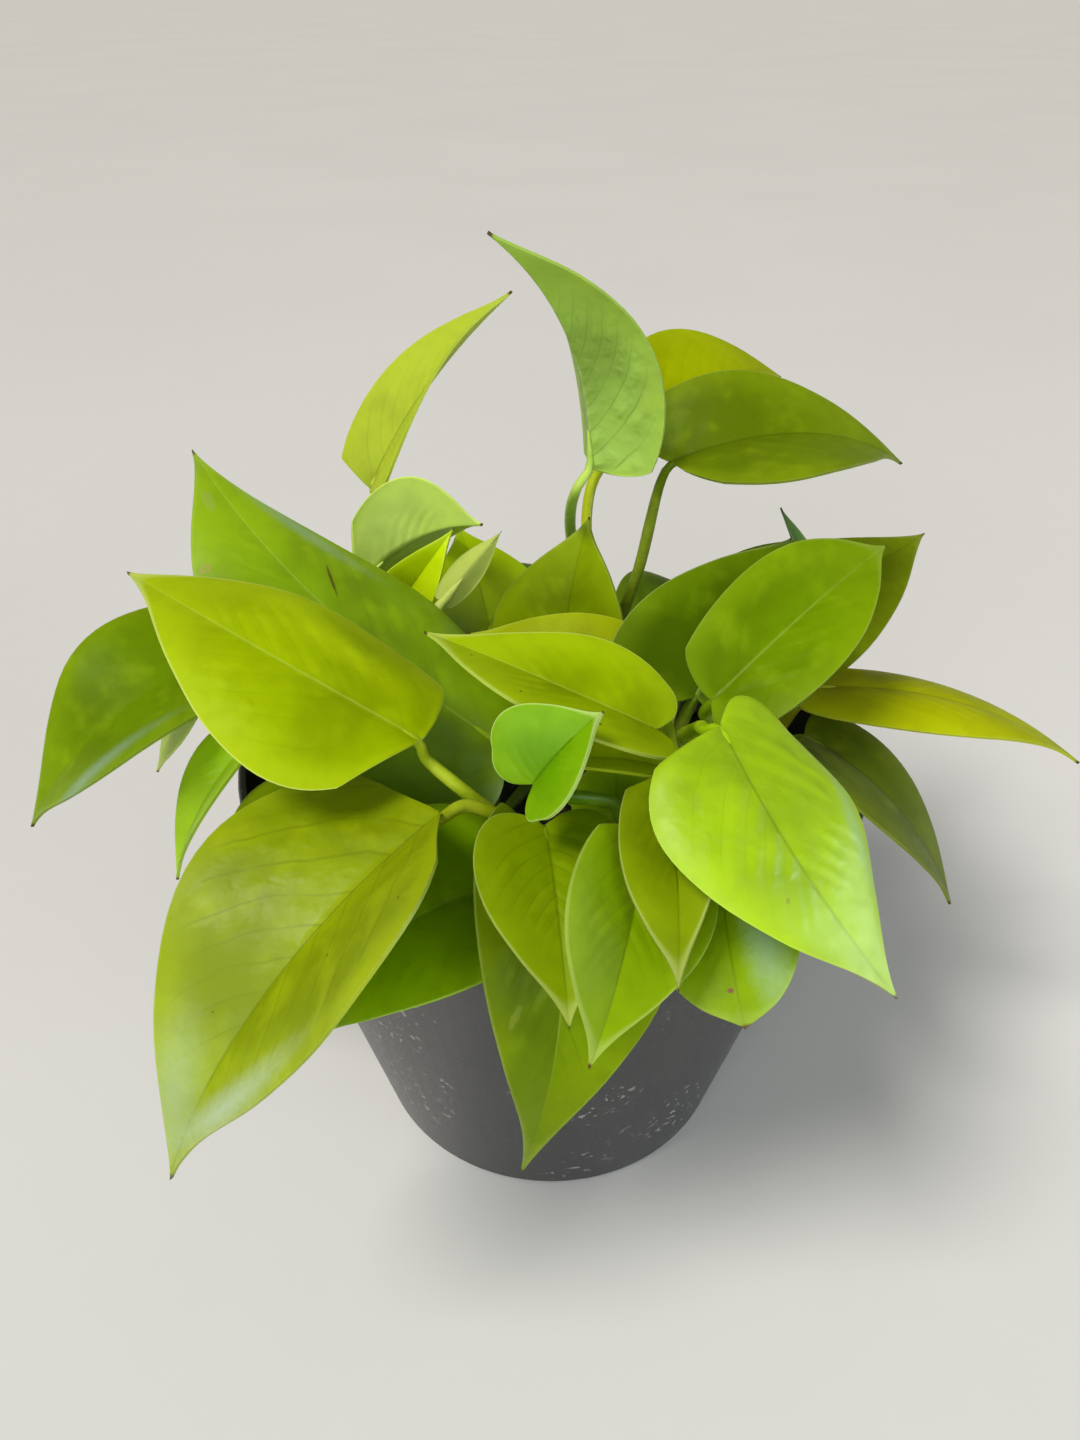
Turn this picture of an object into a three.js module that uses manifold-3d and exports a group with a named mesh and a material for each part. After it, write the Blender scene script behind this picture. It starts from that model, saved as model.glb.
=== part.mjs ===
// A potted neon pothos: a plain tapered nursery pot, its potting mix, the short vine stems that stand
// in the mix, and one node for each leaf, which is a heart-shaped blade grown on its own petiole.
// Millimetres, +Z up, the origin in the middle of the pot's underside, -Y towards the viewer.

import * as THREE from "three";
import { mergeVertices } from "three/addons/utils/BufferGeometryUtils.js";
import Module from "manifold-3d";

const wasm = await Module();
wasm.setup();

// Driving dimensions
const POT_HEIGHT = 112;
const POT_RIM_RADIUS = 75;
const POT_FOOT_RADIUS = 49;
const POT_WALL = 1.6;
const POT_FLOOR = 2.2;
const LIP_HEIGHT = 9;
const LIP_STEP = 2;
const POT_SEGMENTS = 40;
const DRAIN_HOLES = 8;
const DRAIN_RADIUS = 5;
const DRAIN_RING_RADIUS = 35;
const MIX_TOP = 96;
const MIX_CROWN = 1.5;
const SEAT_GAP = 0.3;
const STEM_RADIUS = 2.6;
const STEM_ROOT_Z = 72;
const STEM_SIDES = 8;
const STEM_STEPS = 7;
const HOLE_SIDES = 10;
const BLADE_THICKNESS = 0.8;
const RIB_DEPTH = 0.9;
const MARGIN_RIPPLES = 2.5;
const WEDGE = 0.1;
const PETIOLE_RADIUS = 1.4;
const PETIOLE_SIDES = 6;
const PETIOLE_STEP = 8;
const SHEATH_RADIUS = 1.9;
const PETIOLE_GRIP = 8;

const COLOUR = {
  pot: 0x3b3a40,
  mix: 0x2a211b,
  stem: 0x8a9a3a,
  pale: 0xa6c566,
  yellow: 0xb5cc0a,
  lime: 0x98bd08,
  green: 0x7fa80c,
  dark: 0x567a08,
  young: 0x6f9a66,
};

// The vine stems: where each is rooted in the mix, and the points that it passes above the mix.
const VINES = {
  front_left: { root: [-10, -30], path: [[-9, -34, 108], [-5, -42, 118]] },
  front_right: { root: [6, -32], path: [[7, -36, 107], [8, -44, 117]] },
  middle: { root: [-4, -6], path: [[-4, -7, 106], [-5, -9, 115]] },
  right: { root: [24, -14], path: [[25, -16, 112], [29, -22, 128]] },
  back: { root: [8, 30], path: [[8, 30, 110], [11, 31, 124]] },
  left: { root: [-24, 12], path: [[-25, 13, 108], [-29, 17, 118]] },
  left_back: { root: [-32, 44], path: [[-33, 45, 106], [-37, 50, 116]] },
  right_back: { root: [32, 22], path: [[32, 22, 106], [34, 24, 115]] },
  far_right: { root: [46, -8], path: [[47, -8, 106], [51, -9, 116]] },
  left_front: { root: [-36, -14], path: [[-38, -13, 107], [-44, -11, 117]] },
  rear: { root: [-2, 49], path: [[-2, 50, 103], [-1, 52, 108]] },
};

// Every leaf: the vine and the height on it (0 at the mix, 1 at the top) where the petiole springs,
// the notch and the tip of the blade, its width, and its roll: how far it leans to its right, in
// degrees, from facing upwards. Form: arch and sway bend the midrib up and to the right, crest is
// where along the blade the bend is strongest, fold lifts the left and right halves, in degrees,
// cup lifts the margins, wave ripples them and twist turns the blade between notch and tip. For the
// left and the right half, belly moves the widest place towards the tip, lobe deepens the heart and
// slide draws the margin towards the tip. Knee is how far under and behind the notch the petiole
// bends, and via lists points that the petiole passes.
const LEAVES = [
  // Crown leaves that stand up at the back
  leaf("leaf_crown_tall", "pale", "back", 1.0, [9, 20, 172], [-13, 8, 224], 36, 15,
    { arch: 8, fold: [26, 38], belly: [0, 0.04], lobe: [0.3, 0], via: [[5, 37, 146]] }),
  leaf("leaf_crown_left", "yellow", "left_back", 1.0, [-48, 56, 152], [-10, 68, 199], 28, 15,
    { arch: 4, fold: [15, 35], twist: -40, belly: [0.1, 0.05], lobe: [-0.5, -0.5],
      via: [[-41, 58, 138]] }),
  leaf("leaf_crown_behind", "yellow", "back", 0.5, [26, 50, 177], [65, 92, 170], 36, 24,
    { arch: 5, fold: [8, 8], via: [[9, 44, 137], [11, 54, 155]] }),
  leaf("leaf_crown_right", "dark", "back", 0.7, [27, 22, 173], [86, 40, 165], 37, 24,
    { arch: 9, fold: [13, 16], wave: 0.8, belly: [0, -0.1], lobe: [0.8, 0.3], slide: [-0.1, 0.15],
      via: [[16, 27, 126], [21, 27, 141]] }),
  leaf("leaf_inner_upright", "green", "back", 0.2, [2, 13, 118], [9, 29, 156], 38, -2,
    { arch: 3, fold: [5, 20] }),
  // Leaves of the two left-hand vines
  leaf("leaf_hood_pale", "pale", "left_back", 0.6, [-50, 34, 135], [-17, 31, 153], 32, -62,
    { arch: 6, fold: [28, 28], lobe: [0.5, -0.5], slide: [0, 0.25] }),
  leaf("leaf_hood_bright", "yellow", "left", 1.0, [-43, 27, 127], [-24, 29, 153], 17, 72,
    { arch: 2, fold: [30, 30] }),
  leaf("leaf_small_pale", "pale", "left", 0.7, [-26, 19, 139], [-12, 21, 156], 9, -109,
    { arch: 1, fold: [30, 30], knee: [2, 3], via: [[-23, 20, 123]] }),
  leaf("leaf_left_olive", "dark", "left", 0.3, [-16, 35, 118], [-25, 50, 144], 36, 10,
    { arch: 2, fold: [5, 5] }),
  leaf("leaf_left_large", "dark", "middle", 1.0, [-13, -18, 123], [-85, 31, 172], 58, -6,
    { arch: 6, sway: -10, fold: [5, 5], wave: 1.2, cup: -12, belly: [0, -0.1],
      lobe: [0.8, 0.8] }),
  // Leaves of the two front vines
  leaf("leaf_left_light", "lime", "front_left", 0.6, [-26, -45, 143], [-89, -12, 162], 42, -10,
    { arch: 7, sway: -5, fold: [5, 5], wave: 0.7, cup: -7, belly: [-0.14, 0.08], lobe: [-0.5, 0.2],
      slide: [0.1, 0], via: [[-12, -45, 124], [-18, -46, 131]] }),
  leaf("leaf_front_large", "green", "front_left", 1.0, [-22, -55, 133], [-73, -96, 77], 62, 2,
    { arch: 13, sway: -4, fold: [18, 27], wave: 0.8, twist: -40, belly: [-0.18, -0.05], lobe: [-0.5, -0.4],
      slide: [0.12, 0], knee: [2, 5], via: [[-11, -50, 128]] }),
  leaf("leaf_front_low", "green", "front_left", 0.25, [-9, -51, 112], [-47, -78, 93], 42, -11,
    { arch: 15.5, crest: 0.65, fold: [10, 25], belly: [-0.05, 0], lobe: [1, 0.4] }),
  leaf("leaf_front_long", "lime", "front_right", 0.4, [-1, -52, 120], [-7, -82, 57], 42, -31,
    { arch: 20, sway: 3.5, crest: 0.2, fold: [22, 18], wave: 0.8, belly: [-0.05, -0.1], lobe: [-1, 0.2] }),
  leaf("leaf_front_heart", "green", "front_right", 0.7, [-2, -59, 133], [2, -95, 119], 29, 0,
    { arch: 4, fold: [10, 12], via: [[1, -48, 124]] }),
  leaf("leaf_curled_heart", "green", "front_right", 1.0, [-4, -62, 146], [8, -60, 160], 25, 28,
    { arch: 1, fold: [30, 30], lobe: [2.5, 2.5], via: [[12, -48, 129]] }),
  leaf("leaf_low_left", "green", "left_front", 0.25, [-48, -33, 118], [-73, -45, 100], 26, 0,
    { arch: 6, fold: [5, 5] }),
  leaf("leaf_mid_low", "dark", "middle", 0.3, [-14, -27, 108], [-37, -30, 116], 20, -25,
    { arch: 3, fold: [5, 5] }),
  leaf("leaf_front_mid", "lime", "front_right", 0.15, [16, -64, 137], [5, -102, 118], 30, -39,
    { arch: 4, sway: 0.8, fold: [20, 12], lobe: [-0.5, -0.8], slide: [0, 0.12],
      via: [[16, -42, 114]] }),
  leaf("leaf_front_narrow", "lime", "front_right", 0.5, [20, -56, 143], [20, -93, 126], 21, 6,
    { arch: 4, sway: -1, fold: [26, 22], belly: [-0.05, 0], lobe: [0, -0.5], slide: [0, 0.12],
      via: [[17, -47, 128]] }),
  // Leaves of the right-hand vine
  leaf("leaf_mid_bright", "yellow", "right", 0.7, [19, -46, 146.5], [-26, -28, 157], 29, -4,
    { arch: 4, sway: -4, fold: [16, 16], belly: [0, -0.06], knee: [3, 4], via: [[23, -34, 138]] }),
  leaf("leaf_mid_yellow", "yellow", "right", 0.3, [25, -10, 130], [-20, 9, 135], 25, -38,
    { arch: 5, fold: [5, 5] }),
  leaf("leaf_mid_under", "yellow", "right", 0.2, [25, -43, 133.5], [-7, -47, 137.5], 15, -2,
    { arch: 3, fold: [20, 20] }),
  leaf("leaf_mid_dark", "dark", "middle", 0.45, [14, -29, 107], [14, -17, 123], 20, 0,
    { arch: 2, fold: [5, 5], knee: [2, 2] }),
  leaf("leaf_front_right", "lime", "right", 1.0, [29.5, -56, 154], [58, -90, 121], 38, 6,
    { arch: 6, sway: 6, fold: [4, 4], wave: 0.6, cup: -4, belly: [0.05, -0.13], lobe: [1.8, -0.4],
      slide: [0, 0.08], via: [[29, -38, 141]] }),
  leaf("leaf_right_upright", "green", "right", 0.55, [33, -27, 140], [74, 5, 160], 30, 27,
    { arch: 5, fold: [10, 22], belly: [0.08, 0.04], lobe: [0.3, 0.8], slide: [0.08, 0],
      via: [[36, -21, 129]] }),
  leaf("leaf_right_pale", "green", "right", 0.4, [31, -19, 136], [56, 19, 155], 44, 23,
    { arch: 5, fold: [5, 5], slide: [-0.2, 0.1] }),
  // Leaves of the other vines at the right
  leaf("leaf_right_olive", "dark", "right_back", 1.0, [35, 23, 124], [104, 62, 136], 47, 18,
    { arch: 6, sway: 6, fold: [3, 3], wave: 1, cup: -5, belly: [0, -0.06] }),
  leaf("leaf_right_young", "young", "right_back", 0.35, [74, 57, 121], [66, 75, 138], 7, 0,
    { arch: 1, fold: [40, 40], via: [[48, 36, 115]] }),
  leaf("leaf_right_far", "yellow", "far_right", 1.0, [61, -2, 127], [131, 0, 103], 27, -3,
    { arch: 6.5, fold: [3, 3], cup: -3 }),
  leaf("leaf_right_drooping", "dark", "far_right", 0.4, [57, -16, 123], [90, -37, 91], 34, -12,
    { arch: 5.5, fold: [5, 5], lobe: [0.3, 0.3] }),
  leaf("leaf_right_low", "green", "far_right", 0.2, [33, -52, 123], [33, -90, 113], 29, 23,
    { arch: 5, fold: [14, 14], belly: [0.25, 0.22] }),
  // Leaves at the far left
  leaf("leaf_left_drooping", "dark", "left_front", 1.0, [-76, 12, 129], [-125, -16, 96], 48, -25,
    { arch: 12, fold: [28, -8], cup: 4, wave: 0.8 }),
  leaf("leaf_left_tiny", "pale", "left_front", 0.7, [-89, 19, 116], [-104, 12, 91], 20, 0,
    { arch: 1, fold: [5, 5], via: [[-58, 5, 115], [-73, 14, 116]] }),
  leaf("leaf_left_narrow", "green", "left_front", 0.5, [-68, -20, 124], [-87, -30, 92], 20, 0,
    { arch: 3, fold: [22, 22], belly: [0, -0.04] }),
  // Leaves at the far side of the pot
  leaf("leaf_rear_middle", "green", "rear", 1.0, [1, 60, 111], [-2, 108, 84], 34, 0,
    { arch: 15, crest: 0.3, fold: [8, 8], lobe: [0.4, 0.4], knee: [2, 3] }),
  leaf("leaf_rear_left", "lime", "left_back", 0.2, [-38, 52, 110], [-76, 88, 86], 34, 0,
    { arch: 15, crest: 0.3, fold: [8, 8], lobe: [0.4, 0.4], knee: [2, 3] }),
  leaf("leaf_rear_right", "dark", "rear", 0.4, [30, 53, 109], [52, 95, 82], 34, 0,
    { arch: 15, crest: 0.3, fold: [8, 8], lobe: [0.4, 0.4], knee: [2, 3] }),
];

function leaf(name, tone, vine, at, base, tip, width, roll, form) {
  const level = { arch: 0, sway: 0, fold: [0, 0], cup: 0, wave: 0, twist: 0 };
  const outline = { belly: [0, 0], lobe: [1, 1], slide: [0, 0] };
  const plain = { ...level, ...outline, crest: 0.5, knee: [4.5, 3], via: [] };
  return { ...plain, name, tone, vine, at, base, tip, width, roll, ...form };
}

const point = (list) => new THREE.Vector3(...list);

function material(colour, roughness) {
  return new THREE.MeshStandardMaterial({ color: colour, roughness, metalness: 0 });
}

// A solid from plain positions and triangles, and a mesh from a solid
function solidFrom(positions, triangles) {
  return new wasm.Manifold(
    new wasm.Mesh({
      numProp: 3,
      vertProperties: new Float32Array(positions),
      triVerts: new Uint32Array(triangles),
    }),
  );
}

function solidFromGeometry(geometry) {
  geometry.deleteAttribute("normal");
  geometry.deleteAttribute("uv");
  const merged = mergeVertices(geometry, 1e-4);
  return solidFrom(merged.attributes.position.array, merged.index.array);
}

function meshFrom(name, solid, look) {
  const { vertProperties, triVerts } = solid.getMesh();
  const geometry = new THREE.BufferGeometry();
  geometry.setAttribute("position", new THREE.BufferAttribute(new Float32Array(vertProperties), 3));
  geometry.setIndex([...triVerts]);
  geometry.computeVertexNormals();
  const mesh = new THREE.Mesh(geometry, look);
  mesh.name = name;
  return mesh;
}

// A loose scrap that a cut leaves is dropped: the largest body is the piece.
function largest(solid) {
  const bodies = solid.decompose();
  bodies.sort((a, b) => b.volume() - a.volume());
  return bodies[0];
}

// A round bar along a curve, its radius given by a function of the share of its length
function taperedBar(curve, radiusAt, sides, steps) {
  const frames = curve.computeFrenetFrames(steps, false);
  const positions = [];
  const triangles = [];
  for (let i = 0; i <= steps; i += 1) {
    const centre = curve.getPointAt(i / steps);
    const radius = radiusAt(i / steps);
    for (let k = 0; k < sides; k += 1) {
      const angle = (2 * Math.PI * k) / sides;
      const corner = centre
        .clone()
        .addScaledVector(frames.normals[i], radius * Math.cos(angle))
        .addScaledVector(frames.binormals[i], radius * Math.sin(angle));
      positions.push(...corner.toArray());
    }
  }
  for (let i = 0; i < steps; i += 1) {
    for (let k = 0; k < sides; k += 1) {
      const a = i * sides + k;
      const b = i * sides + ((k + 1) % sides);
      triangles.push(a, b, b + sides, a, b + sides, a + sides);
    }
  }
  for (let k = 1; k < sides - 1; k += 1) {
    const end = steps * sides;
    triangles.push(0, k + 1, k);
    triangles.push(end, end + k, end + k + 1);
  }
  return solidFrom(positions, triangles);
}

function lathe(profile) {
  const points = profile.map(([radius, z]) => new THREE.Vector2(radius, z));
  const geometry = new THREE.LatheGeometry(points, POT_SEGMENTS);
  geometry.rotateX(Math.PI / 2);
  return solidFromGeometry(geometry);
}

function upright(radius, bottom, top, sides, x, y) {
  const geometry = new THREE.CylinderGeometry(radius, radius, top - bottom, sides);
  geometry.rotateX(Math.PI / 2);
  geometry.translate(x, y, (bottom + top) / 2);
  return solidFromGeometry(geometry);
}

// Radius of the pot's outer wall under the lip
function wallRadius(z) {
  const top = POT_HEIGHT - LIP_HEIGHT;
  return POT_FOOT_RADIUS + ((POT_RIM_RADIUS - LIP_STEP - 0.6 - POT_FOOT_RADIUS) * z) / top;
}

function pot() {
  const lipFoot = POT_HEIGHT - LIP_HEIGHT;
  const rim = POT_RIM_RADIUS;
  const outside = [
    [0, 0],
    [POT_FOOT_RADIUS - 1.4, 0],
    [wallRadius(1.4), 1.4],
    [wallRadius(lipFoot), lipFoot],
    [rim - 0.7, lipFoot + 0.6],
    [rim, POT_HEIGHT - 1.6],
    [rim - 0.7, POT_HEIGHT - 0.3],
  ];
  const inside = [
    [rim - 1.3, POT_HEIGHT],
    [rim - 2.0, POT_HEIGHT - 0.5],
    [rim - 2.5, lipFoot + 1.6],
    [wallRadius(lipFoot) - POT_WALL, lipFoot - 1],
    [wallRadius(POT_FLOOR + 2) - POT_WALL, POT_FLOOR + 2],
    [wallRadius(POT_FLOOR) - POT_WALL - 2, POT_FLOOR],
    [0, POT_FLOOR],
  ];
  let body = lathe([...outside, ...inside]);
  for (let i = 0; i < DRAIN_HOLES; i += 1) {
    const angle = (2 * Math.PI * i) / DRAIN_HOLES;
    const x = DRAIN_RING_RADIUS * Math.cos(angle);
    const y = DRAIN_RING_RADIUS * Math.sin(angle);
    body = body.subtract(upright(DRAIN_RADIUS, -1, POT_FLOOR + 1, HOLE_SIDES, x, y));
  }
  return meshFrom("pot", body, material(COLOUR.pot, 0.45));
}

function pottingMix() {
  const bottom = POT_FLOOR + SEAT_GAP;
  const clear = POT_WALL + SEAT_GAP + 0.05;
  let body = lathe([
    [0, bottom],
    [wallRadius(bottom) - clear - 2.4, bottom],
    [wallRadius(bottom + 2.4) - clear, bottom + 2.4],
    [wallRadius(MIX_TOP - 1) - clear, MIX_TOP - 1],
    [wallRadius(MIX_TOP) - clear - 2, MIX_TOP],
    [POT_FOOT_RADIUS - 12, MIX_TOP + MIX_CROWN * 0.6],
    [0, MIX_TOP + MIX_CROWN],
  ]);
  const holeRadius = (STEM_RADIUS + SEAT_GAP) / Math.cos(Math.PI / HOLE_SIDES);
  for (const { root } of Object.values(VINES)) {
    const hole = upright(holeRadius, STEM_ROOT_Z, MIX_TOP + 10, HOLE_SIDES, ...root);
    body = body.subtract(hole);
  }
  return meshFrom("potting_mix", body, material(COLOUR.mix, 0.95));
}

// The stem stands plumb in its hole and bends out above the mix.
function vineCurve(vine) {
  const [x, y] = vine.root;
  const low = STEM_ROOT_Z + SEAT_GAP;
  const inHole = [low, MIX_TOP - 10, MIX_TOP + 3].map((z) => new THREE.Vector3(x, y, z));
  return new THREE.CatmullRomCurve3([...inHole, ...vine.path.map(point)], false, "centripetal");
}

function vineSolid(vine, extra) {
  const curve = vineCurve(vine);
  const radiusAt = (share) => (share > 0.97 ? 0.7 : 1) * (STEM_RADIUS - 0.1) + extra;
  return taperedBar(curve, radiusAt, STEM_SIDES, STEM_STEPS);
}

// The point on the vine where a petiole springs, from 0 at the mix to 1 at the top
function springPoint(vine, at) {
  const curve = vineCurve(vine);
  const whole = curve.getLength();
  const inMix = MIX_TOP + 3 - STEM_ROOT_Z - SEAT_GAP;
  const share = (inMix + at * (whole - inMix)) / whole;
  return curve.getPointAt(Math.min(share, 0.985));
}

// Half of the blade's outline from the notch to the tip: x in half widths, y in lengths
const HALF_OUTLINE = new THREE.SplineCurve(
  [
    [0, 0],
    [0.3, -0.07],
    [0.65, -0.05],
    [0.91, 0.09],
    [1, 0.29],
    [0.88, 0.49],
    [0.56, 0.69],
    [0.2, 0.86],
    [0.05, 0.95],
    [0, 1],
  ].map(([x, y]) => new THREE.Vector2(x, y)),
);

// The midrib: a curve from notch to tip, with the blade's own directions at any share of it
function midribOf({ base, tip, roll, arch, sway, crest, twist }) {
  const start = point(base);
  const end = point(tip);
  const chord = end.clone().sub(start);
  const along = chord.clone().normalize();
  const up = new THREE.Vector3(0, 0, 1).addScaledVector(along, -along.z).normalize();
  up.applyAxisAngle(along, THREE.MathUtils.degToRad(roll));
  const side = along.clone().cross(up);
  const middle = start
    .clone()
    .lerp(end, crest)
    .addScaledVector(up, 2 * arch)
    .addScaledVector(side, 2 * sway);
  const curve = new THREE.QuadraticBezierCurve3(start, middle, end);
  return (share) => {
    const s = THREE.MathUtils.clamp(share, 0, 1);
    const tangent = curve.getTangent(s);
    const centre = curve.getPoint(s);
    if (share < 0) {
      centre.addScaledVector(tangent, share * chord.length());
    }
    const normal = up.clone().applyAxisAngle(tangent, THREE.MathUtils.degToRad(twist) * (s - 0.5));
    normal.addScaledVector(tangent, -normal.dot(tangent)).normalize();
    return { centre, tangent, normal, side: tangent.clone().cross(normal) };
  };
}

// The margin of one half. A lobe below zero starts it forwards of the notch, as a wedge.
function rimPoint(form, half, u) {
  const rim = HALF_OUTLINE.getPoint(u);
  const ahead = Math.max(rim.y, 0);
  const lobe = form.lobe[half];
  const start = lobe < 0 ? -lobe * WEDGE * rim.x * (1 - ahead) ** 3 : lobe * Math.min(rim.y, 0);
  rim.y = ahead + start + form.belly[half] * Math.sin(Math.PI * ahead);
  return rim;
}

// A point of the blade's middle surface. u runs from notch to tip along the margin, t from the left
// margin (-1) over the midrib (0) to the right margin (1), along the side veins.
function bladePoint(form, midribAt, u, t) {
  const half = t < 0 ? 0 : 1;
  const rim = rimPoint(form, half, u);
  const out = Math.abs(t);
  const across = out * rim.x;
  const share = THREE.MathUtils.lerp(u * u, rim.y, out) + form.slide[half] * across;
  const tilt = THREE.MathUtils.degToRad(form.fold[half]);
  const reach = (form.width / 2) * across;
  const ripple = form.wave * Math.sin(2 * Math.PI * MARGIN_RIPPLES * u - 1.2 * half) * across * across;
  const rise = reach * Math.sin(tilt) + form.cup * across * across + ripple;
  const { centre, normal, side } = midribAt(share);
  return centre
    .addScaledVector(side, Math.sign(t) * reach * Math.cos(tilt))
    .addScaledVector(normal, rise);
}

// The blade: a grid between two poles, laid twice, with a wall round the margin and the midrib
// standing out underneath. Both faces are split into the same triangles.
function bladeSolid(form, midribAt) {
  const big = form.width > 30;
  const rows = big ? 8 : 6;
  const right = big ? [0.13, 0.6, 1] : [0.16, 1];
  const columns = [...right.map((t) => -t).reverse(), 0, ...right];
  const wide = columns.length;
  const middle = right.length;
  const surface = [bladePoint(form, midribAt, 0, 0)];
  for (let i = 1; i < rows; i += 1) {
    for (const t of columns) {
      surface.push(bladePoint(form, midribAt, i / rows, t));
    }
  }
  surface.push(bladePoint(form, midribAt, 1, 0));
  const last = surface.length - 1;
  const at = (i, c) => 1 + (i - 1) * wide + c;
  const faces = [];
  for (let c = 0; c < wide - 1; c += 1) {
    faces.push([0, at(1, c + 1), at(1, c)]);
    faces.push([at(rows - 1, c), at(rows - 1, c + 1), last]);
    for (let i = 1; i < rows - 1; i += 1) {
      faces.push([at(i, c), at(i, c + 1), at(i + 1, c + 1)]);
      faces.push([at(i, c), at(i + 1, c + 1), at(i + 1, c)]);
    }
  }
  const margin = [0];
  for (let i = 1; i < rows; i += 1) {
    margin.push(at(i, wide - 1));
  }
  margin.push(last);
  for (let i = rows - 1; i > 0; i -= 1) {
    margin.push(at(i, 0));
  }
  return shell(surface, faces, margin, (index) => {
    const inGrid = index > 0 && index < last;
    const onRib = inGrid && (index - 1) % wide === middle;
    const row = Math.floor((index - 1) / wide) + 1;
    return onRib ? RIB_DEPTH * (1 - row / rows) : 0;
  });
}

function shell(surface, faces, margin, extraBelow) {
  const normals = surface.map(() => new THREE.Vector3());
  for (const [a, b, c] of faces) {
    const edge = surface[b].clone().sub(surface[a]);
    const turn = edge.cross(surface[c].clone().sub(surface[a]));
    for (const index of [a, b, c]) {
      normals[index].add(turn);
    }
  }
  const half = BLADE_THICKNESS / 2;
  const above = surface.map((p, i) => p.clone().addScaledVector(normals[i].normalize(), half));
  const below = surface.map((p, i) => p.clone().addScaledVector(normals[i], -half - extraBelow(i)));
  const count = surface.length;
  const triangles = [];
  for (const [a, b, c] of faces) {
    triangles.push(a, b, c, count + a, count + c, count + b);
  }
  margin.forEach((a, i) => {
    const b = margin[(i + 1) % margin.length];
    triangles.push(b, a, count + a, b, count + a, count + b);
  });
  return solidFrom([...above, ...below].flatMap((p) => p.toArray()), triangles);
}

// The petiole springs from the vine, bends at a knee under the notch and runs on under the midrib.
function petioleSolid(form, midribAt, vine) {
  const length = point(form.base).distanceTo(point(form.tip));
  const notch = midribAt(0);
  const grip = midribAt(Math.min(PETIOLE_GRIP / length, 0.3));
  const knee = notch.centre
    .clone()
    .addScaledVector(notch.normal, -form.knee[0])
    .addScaledVector(notch.tangent, -form.knee[1]);
  const stations = [
    springPoint(vine, form.at),
    ...form.via.map(point),
    knee,
    notch.centre.clone().addScaledVector(notch.normal, -1.1),
    grip.centre.clone().addScaledVector(grip.normal, -0.9),
  ];
  const curve = new THREE.CatmullRomCurve3(stations, false, "centripetal");
  const steps = THREE.MathUtils.clamp(Math.round(curve.getLength() / PETIOLE_STEP), 4, 8);
  const radiusAt = (share) => {
    const sheath = (SHEATH_RADIUS - PETIOLE_RADIUS) * Math.max(0, 1 - share / 0.3);
    return sheath + PETIOLE_RADIUS - 0.6 * Math.max(0, (share - 0.6) / 0.4);
  };
  return taperedBar(curve, radiusAt, PETIOLE_SIDES, steps);
}

function leafMesh(form) {
  const midribAt = midribOf(form);
  const vine = VINES[form.vine];
  const grown = bladeSolid(form, midribAt).add(petioleSolid(form, midribAt, vine));
  const clear = grown.subtract(vineSolid(vine, SEAT_GAP));
  return meshFrom(form.name, largest(clear), material(COLOUR[form.tone], 0.4));
}

const plant = new THREE.Group();
plant.add(pot());
plant.add(pottingMix());
for (const [name, vine] of Object.entries(VINES)) {
  plant.add(meshFrom(`vine_${name}`, vineSolid(vine, 0), material(COLOUR.stem, 0.5)));
}
for (const form of LEAVES) {
  plant.add(leafMesh(form));
}

export default plant;
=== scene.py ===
# A potted neon pothos: arched heart-shaped leaves on slim petioles, short stems in dark mix, and a
# plain tapered nursery pot. The leaves follow the same midribs and outlines as the solids, finer.

import math
import random

import bpy
from mathutils import Matrix, Vector


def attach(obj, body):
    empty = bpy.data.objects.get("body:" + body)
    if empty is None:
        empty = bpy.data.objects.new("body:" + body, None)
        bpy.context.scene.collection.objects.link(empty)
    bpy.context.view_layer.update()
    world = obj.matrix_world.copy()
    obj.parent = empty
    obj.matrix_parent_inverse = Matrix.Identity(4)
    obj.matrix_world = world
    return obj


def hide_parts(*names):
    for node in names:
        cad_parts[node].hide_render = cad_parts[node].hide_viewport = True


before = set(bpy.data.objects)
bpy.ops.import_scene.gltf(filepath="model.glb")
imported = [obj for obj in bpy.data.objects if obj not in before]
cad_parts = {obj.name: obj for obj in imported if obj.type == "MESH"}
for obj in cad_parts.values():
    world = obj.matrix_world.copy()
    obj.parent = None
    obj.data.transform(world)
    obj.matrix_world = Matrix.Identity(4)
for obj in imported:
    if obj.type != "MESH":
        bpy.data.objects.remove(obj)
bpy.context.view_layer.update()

# A millimetre in metres, the gap in millimetres under which points are merged, and the angles up to
# which faces are shaded smooth
MM = 0.001
MERGE_GAP = 0.01
SMOOTH_ANGLE = math.radians(60)
POT_SMOOTH_ANGLE = math.radians(40)

# Pot and mix, in millimetres
POT_HEIGHT = 112
POT_RIM_RADIUS = 75
POT_FOOT_RADIUS = 49
POT_WALL = 1.6
POT_FLOOR = 2.2
POT_SEGMENTS = 96
LIP_HEIGHT = 9
LIP_STEP = 2
LIP_ROUNDING = 0.6
DRAIN_HOLES = 8
DRAIN_RADIUS = 5
DRAIN_RING_RADIUS = 35
DRILL_LENGTH = 8
MIX_TOP = 96
MIX_CROWN = 1.5
CROWN_INSET = 12
MIX_CORNER = 2.4
MIX_RING_STEP = 2
SEAT_GAP = 0.3

# Crumbs on the mix: how many and where, the ranges of their sizes in millimetres and of their
# proportions, and how far they lean and turn, in radians
CRUMBS = 420
CRUMB_FIELD = 70
CRUMB_TO_WALL = 6
CRUMB_LIFT = 0.2
CRUMB_SIZES = (0.8, 2.3)
CRUMB_FLATNESS = (0.35, 0.8)
CRUMB_STRETCH = (0.7, 1.5)
CRUMB_LEAN = 0.4
CRUMB_TURN = 6.3

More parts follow.
